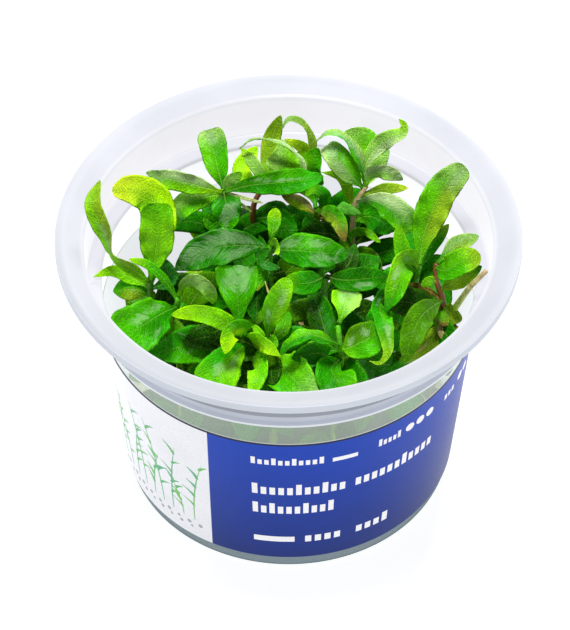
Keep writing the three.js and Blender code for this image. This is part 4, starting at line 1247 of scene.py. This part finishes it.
# Longest step of a printed bar and size of a degree round the sleeve, and the steps of dots and reeds
BAR_STEP = 1.5
DEGREE = 0.83
DOT_STEPS = 9
REED_STEPS = 12


def bar_outline(start, end, low, high):
    steps = max(int((end - start) / BAR_STEP), 3)
    places = [start + (end - start) * k / steps for k in range(steps + 1)]
    return [(place, low) for place in places] + [(place, high) for place in reversed(places)]


def dot_outline(centre, height, size):
    """A round dot; size is its radius in mm."""
    def half(reach):
        turns = [math.pi * k / DOT_STEPS for k in range(DOT_STEPS + 1)]
        return [(centre - reach / DEGREE * math.cos(t), height - reach * math.sin(t)) for t in turns]
    return half(size) + half(-size)


def reed_outline(foot, low, high, lean, width):
    """A slim printed reed that leans over as it rises."""
    left, right = [], []
    for k in range(REED_STEPS + 1):
        share = k / REED_STEPS
        centre = foot + lean * share ** 2
        half = width / 2 * math.sin(math.pi * min(0.12 + 0.88 * share, 0.995)) ** 0.7
        height = low + (high - low) * share
        left.append((centre - half, height))
        right.append((centre + half, height))
    return right + left[::-1]


def add_row(skin, start, end, low, high, count, tall):
    """A row of blocks with narrow gaps, the tall ones rising above the others."""
    pitch = (end - start) / count
    for k in range(count):
        left = start + pitch * k
        top = high + (high - low) * TALL_SHARE if k in tall else high
        add_print(skin, bar_outline(left, left + pitch * (1 - ROW_GAP), low, top), MARK_WHITE)


# Plain printed marks: rows of small blocks that stand for words, bars and dots. A row holds its start
# and end in degrees round, its foot and top in mm, how many blocks it has and which of them are taller
ROWS = [
    (-11.5, 11.5, 45.4, 47.3, 11, (0, 3, 6, 10)),
    (28.5, 37, 46, 47.9, 5, (0, 4)),
    (56.5, 63, 46, 47.9, 3, ()),
    (-11.5, 19, 32.6, 35.6, 11, (0, 5, 8)),
    (21.5, 52.5, 32.8, 35.8, 11, (6,)),
    (-11.5, 15.5, 24.4, 27.4, 10, (0, 2, 6, 9)),
    (5.5, 18.5, 11.6, 14.2, 4, ()),
    (23, 36, 11.6, 14.2, 4, (3,)),
]
ROW_GAP = 0.36
TALL_SHARE = 0.45

# A bar holds its start and end in degrees round, and its foot and top in mm; a dot its place and radius
BARS = [(-11.5, 2, 11.8, 14), (13.5, 21.5, 45.4, 46.9)]
DOTS = [(40, 47.6, 1.4), (44.3, 47.7, 1.4), (48.6, 47.8, 1.4), (66.5, 47.8, 1.4), (70.8, 47.8, 1.4)]

# A reed holds its foot in degrees round and how far it leans; its side leaves stand at these shares
REEDS = [(-33, 5), (-37.5, -4), (-42, 4), (-46.5, -6), (-51, 5), (-56, -4), (-61, 5), (-66, -5), (-72, 3)]
REED_FOOT = 12
REED_WIDTH = 0.5
REED_LEAVES = (0.24, 0.4, 0.56, 0.72, 0.88)
REED_LEAF_WIDTH = 1.5


def add_reed(marks, foot, lean, luck):
    """A printed reed with side leaves, and two dots of ground at its foot."""
    top = 26 + 20 * luck.random()
    ink = blend(GREEN_INK, LEAF_INK, luck.random())
    add_print(marks, reed_outline(foot, REED_FOOT, top, lean, REED_WIDTH), ink)
    for share in REED_LEAVES:
        height = REED_FOOT + (top - REED_FOOT) * share
        side = luck.choice((-1, 1))
        reach = (2.5 + 2.5 * luck.random()) * side
        ink = blend(GREEN_INK, LEAF_INK, luck.random())
        start = foot + lean * share ** 2
        tip = height + 2 + 2 * luck.random()
        add_print(marks, reed_outline(start, height, tip, reach, REED_LEAF_WIDTH), ink)
    add_print(marks, dot_outline(foot + 2, 10.2, 0.5 + 0.3 * luck.random()), GREY_INK)
    add_print(marks, dot_outline(foot - 1.5, 8.6, 0.4 + 0.3 * luck.random()), GREY_INK)


def make_label():
    skin = Skin()
    inner, outer = FIT_GAP, FIT_GAP + LABEL_THICKNESS
    profile = [
        (wall_radius(LABEL_TOP) + inner, LABEL_TOP, 1, "inner"),
        (wall_radius(LABEL_BOTTOM) + inner, LABEL_BOTTOM, 1, "inner"),
    ]
    for k in range(LABEL_STEPS + 1):
        height = LABEL_BOTTOM + (LABEL_TOP - LABEL_FACE_END - LABEL_BOTTOM) * k / LABEL_STEPS
        profile.append((wall_radius(height) + outer, height, 1, "face"))
    profile.append((wall_radius(LABEL_TOP) + outer, LABEL_TOP - EDGE_LINE_WIDTH, 1, "edge"))
    profile.append((wall_radius(LABEL_TOP) + outer, LABEL_TOP, 1, "edge"))
    add_lathe(skin, profile, LABEL_SIDES, label_tone, label_fact, closed=True)
    film = label_material()
    sleeve = skin.build("label_sleeve_film", [film], sharp=40)
    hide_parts("label_sleeve")
    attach(sleeve, "root")

    marks = Skin()
    for row in ROWS:
        add_row(marks, *row)
    for bar in BARS:
        add_print(marks, bar_outline(*bar), MARK_WHITE)
    for dot in DOTS:
        add_print(marks, dot_outline(*dot), MARK_WHITE)
    luck = random.Random(5)
    for foot, lean in REEDS:
        add_reed(marks, foot, lean, luck)
    marks_piece = marks.build("label_print", [film], sharp=40)
    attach(marks_piece, "root")


def make_cup():
    skin = Skin()
    add_lathe(skin, cup_profile(), CUP_SIDES, cup_tone, cup_fact, firm=cup_firm)
    cup = skin.build("cup_moulding", [cup_material()], sharp=38)
    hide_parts("cup")
    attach(cup, "root")


# Rings of the gel's top, as shares of its radius
GEL_RINGS = [(0.97, "clear"), (0.94, "clear"), (0.9, "clear"), (0.8, "rooted"), (0.6, "rooted")]


def make_gel():
    bottom = FOOT_RECESS + WALL + FIT_GAP
    skin = Skin()
    profile = [
        (0, bottom, 1, "rooted"),
        (BODY_FOOT_RADIUS - WALL - 1.4, bottom, 1, "clear"),
        (wall_radius(bottom + 1.2) - WALL - FIT_GAP - 0.2, bottom + 1.2, 1, "clear"),
        (wall_radius(GEL_TOP) - WALL - FIT_GAP - 0.1, GEL_TOP + 0.4, 1, "clear"),
    ]
    for share, kind in GEL_RINGS:
        radius = wall_radius(GEL_TOP) * share - WALL
        profile.append((radius, GEL_TOP + 0.3 * (share - 0.9) ** 2, 1, kind))
    profile.append((0, GEL_TOP, 1, "rooted"))
    add_lathe(skin, profile, GEL_SIDES, lambda angle, height, kind: GEL_TONES[kind],
              lambda angle, height, kind: (0, 0, height))
    gel = skin.build("gel_disc", [gel_material()], sharp=50)
    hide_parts("nutrient_gel")
    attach(gel, "root")


# Plants
LEAF_SKIN = leaf_material()
STEM_SKIN = stem_material()

# Foot and top tone of each stem that isn't olive turning fresh green, and where the tone changes
STEM_TONES = {
    "rosette_stem": ("brown", "pale"),
    "rear_stem": ("brown", "red"),
    "right_rear_stem": ("brown", "beige"),
    "right_front_stem": ("brown", "red"),
    "left_rear_stem": ("olive", "moss"),
    "inner_stem": ("beige", "olive"),
}
STEM_TURNS = (0.3, 0.9)

# Lower leaves stand in pairs at these heights on every stem, each pair a quarter turn from the last.
# They keep clear of the wall and of the stem's top
LOW_PAIR_HEIGHTS = (19, 25, 31, 37, 42, 47, 51)
LOW_TOP_SHARE = 0.86
# The lower leaves' tones are dark, painted shade deep under the clump
LOW_SHADED_TONES = ("night", "dark", "dark", "deep", "moss")
LOW_LEAF_LENGTH = 15
LOW_LEAF_WIDTH = 7.5
LOW_WALL_GAP = 2.5
LOW_TIP_RISE = 8
LOW_TRIM = 0.5
LOW_SHORTEST = 3
LOW_LEAST = 5
LOW_RINGS = 12
LOW_COLUMNS = 7


def add_low_leaves(skin, stem, luck):
    for index, height in enumerate(LOW_PAIR_HEIGHTS):
        share = (height - GEL_TOP) / max(stem.at(1).z - GEL_TOP, 1)
        if share > LOW_TOP_SHARE:
            continue
        foot = stem.at(share)
        start = luck.random() * 0.9 + index * math.pi / 2
        for turn in (0, math.pi):
            angle = start + turn
            length = LOW_LEAF_LENGTH * (0.75 + 0.4 * luck.random())
            outward = Vector((math.cos(angle), math.sin(angle), 0))
            limit = wall_radius(foot.z + LOW_TIP_RISE) - WALL - LOW_WALL_GAP
            while (foot.xy + outward.xy * length).length > limit and length > LOW_SHORTEST:
                length -= LOW_TRIM
            if length < LOW_LEAST:
                continue
            middle = foot + outward * length * 0.5 + Vector((0, 0, length * 0.45))
            tip = foot + outward * length + Vector((0, 0, length * (0.35 + 0.3 * luck.random())))
            tone = luck.choice(LOW_SHADED_TONES)
            width = LOW_LEAF_WIDTH * (0.8 + 0.4 * luck.random())
            leaf = blade("oval", width, None, tone, fold=8, wave=0.6, bow=0.1, sheen=0.2)
            add_blade(skin, Curve([foot, middle, tip]), leaf, LOW_RINGS, LOW_COLUMNS, luck)


def make_stem(number, name):
    """A stem with all the leaves that have grown as one with it; gives back its line."""
    foot, path, leaflets = STEMS[name]
    luck = random.Random(100 + number)
    start = Vector((*foot, GEL_TOP + FIT_GAP))
    rise = Vector((*foot, GEL_TOP + STEM_RISE))
    stem = Curve([start, rise, *[seen(p) for p in path]])
    foot_tone, top_tone = (TONES[tone] for tone in STEM_TONES.get(name, ("olive", "fresh")))

    def tone(share):
        return blend(foot_tone, top_tone, smooth_step(*STEM_TURNS, share))

    skin = Skin()
    add_tube(skin, stem, stem_radius, STEM_RINGS, STEM_SIDES, tone, luck, 1)
    for leaflet in [*leaflets, *REMAINS.get(name, [])]:
        points = [seen(p) for p in leaflet["path"]]
        points[0] = root_of(stem, points[0])[1]
        add_blade(skin, Curve(points), leaflet, LEAFLET_RINGS, LEAFLET_COLUMNS, luck)
    add_low_leaves(skin, stem, luck)
    piece = skin.build(name + "_grown", [LEAF_SKIN, STEM_SKIN])
    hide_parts(name)
    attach(piece, "root")
    return stem


def make_plants():
    stems = {}
    for number, name in enumerate(STEMS):
        stems[name] = make_stem(number, name)

    for number, (name, leaf) in enumerate(LEAVES.items()):
        luck = random.Random(300 + number)
        skin = Skin()
        stem = stems[name.split("_leaf_")[0] + "_stem"]
        add_blade(skin, leaf_curve(stem, leaf["path"]), leaf, LEAF_RINGS, LEAF_COLUMNS, luck)
        piece = skin.build(name + "_blade", [LEAF_SKIN])
        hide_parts(name)
        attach(piece, "root")

    luck = random.Random(900)
    skin = Skin()
    add_tube(skin, Curve([seen(p) for p in CUT_STEM]), cut_stem_radius, CUT_STEM_RINGS, CUT_STEM_SIDES,
             lambda share: blend(TONES["olive"], TONES["beige"], share), luck)
    piece = skin.build("cut_stem_bark", [STEM_SKIN])
    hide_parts("cut_stem")
    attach(piece, "root")


# Floor and light
FLOOR_SIZE = 3.0
FLOOR_GLOW = 0.9
WORLD_LIGHT = 0.2
WHITE_LIGHT = (1, 1, 1, 1)
LIGHT_AIM = Vector((0, 0, 0.06))

# Each light: its place in metres, the side of its square, and its power in watts
LIGHTS = {
    "key": ((-0.08, 0.02, 0.97), 0.22, 10.4),
    "back": ((0.15, 0.75, 0.6), 0.25, 4.6),
}


def make_stage():
    mesh = bpy.data.meshes.new("floor")
    corners = [(x * FLOOR_SIZE, y * FLOOR_SIZE, 0) for x, y in ((-1, -1), (1, -1), (1, 1), (-1, 1))]
    mesh.from_pydata(corners, [], [(0, 1, 2, 3)])
    make = Maker("floor")
    mesh.materials.append(make.finish({
        "Base Color": (0.4, 0.4, 0.4, 1),
        "Emission Color": WHITE_LIGHT,
        "Emission Strength": FLOOR_GLOW,
        "Roughness": 0.9,
    }))
    floor = bpy.data.objects.new("floor", mesh)
    bpy.context.collection.objects.link(floor)

    world = bpy.data.worlds.new("studio")
    bpy.context.scene.world = world
    world.use_nodes = True
    background = world.node_tree.nodes["Background"]
    background.inputs[0].default_value = WHITE_LIGHT
    background.inputs[1].default_value = WORLD_LIGHT

    for name, (place, size, power) in LIGHTS.items():
        data = bpy.data.lights.new(name, "AREA")
        data.shape = "SQUARE"
        data.size = size
        data.energy = power
        light = bpy.data.objects.new(name, data)
        light.location = Vector(place)
        light.rotation_euler = (LIGHT_AIM - Vector(place)).to_track_quat("-Z", "Y").to_euler()
        bpy.context.collection.objects.link(light)

    bpy.context.scene.view_settings.view_transform = "Standard"
    bpy.context.scene.view_settings.look = "None"


make_stage()
make_cup()
make_label()
make_gel()
make_plants()
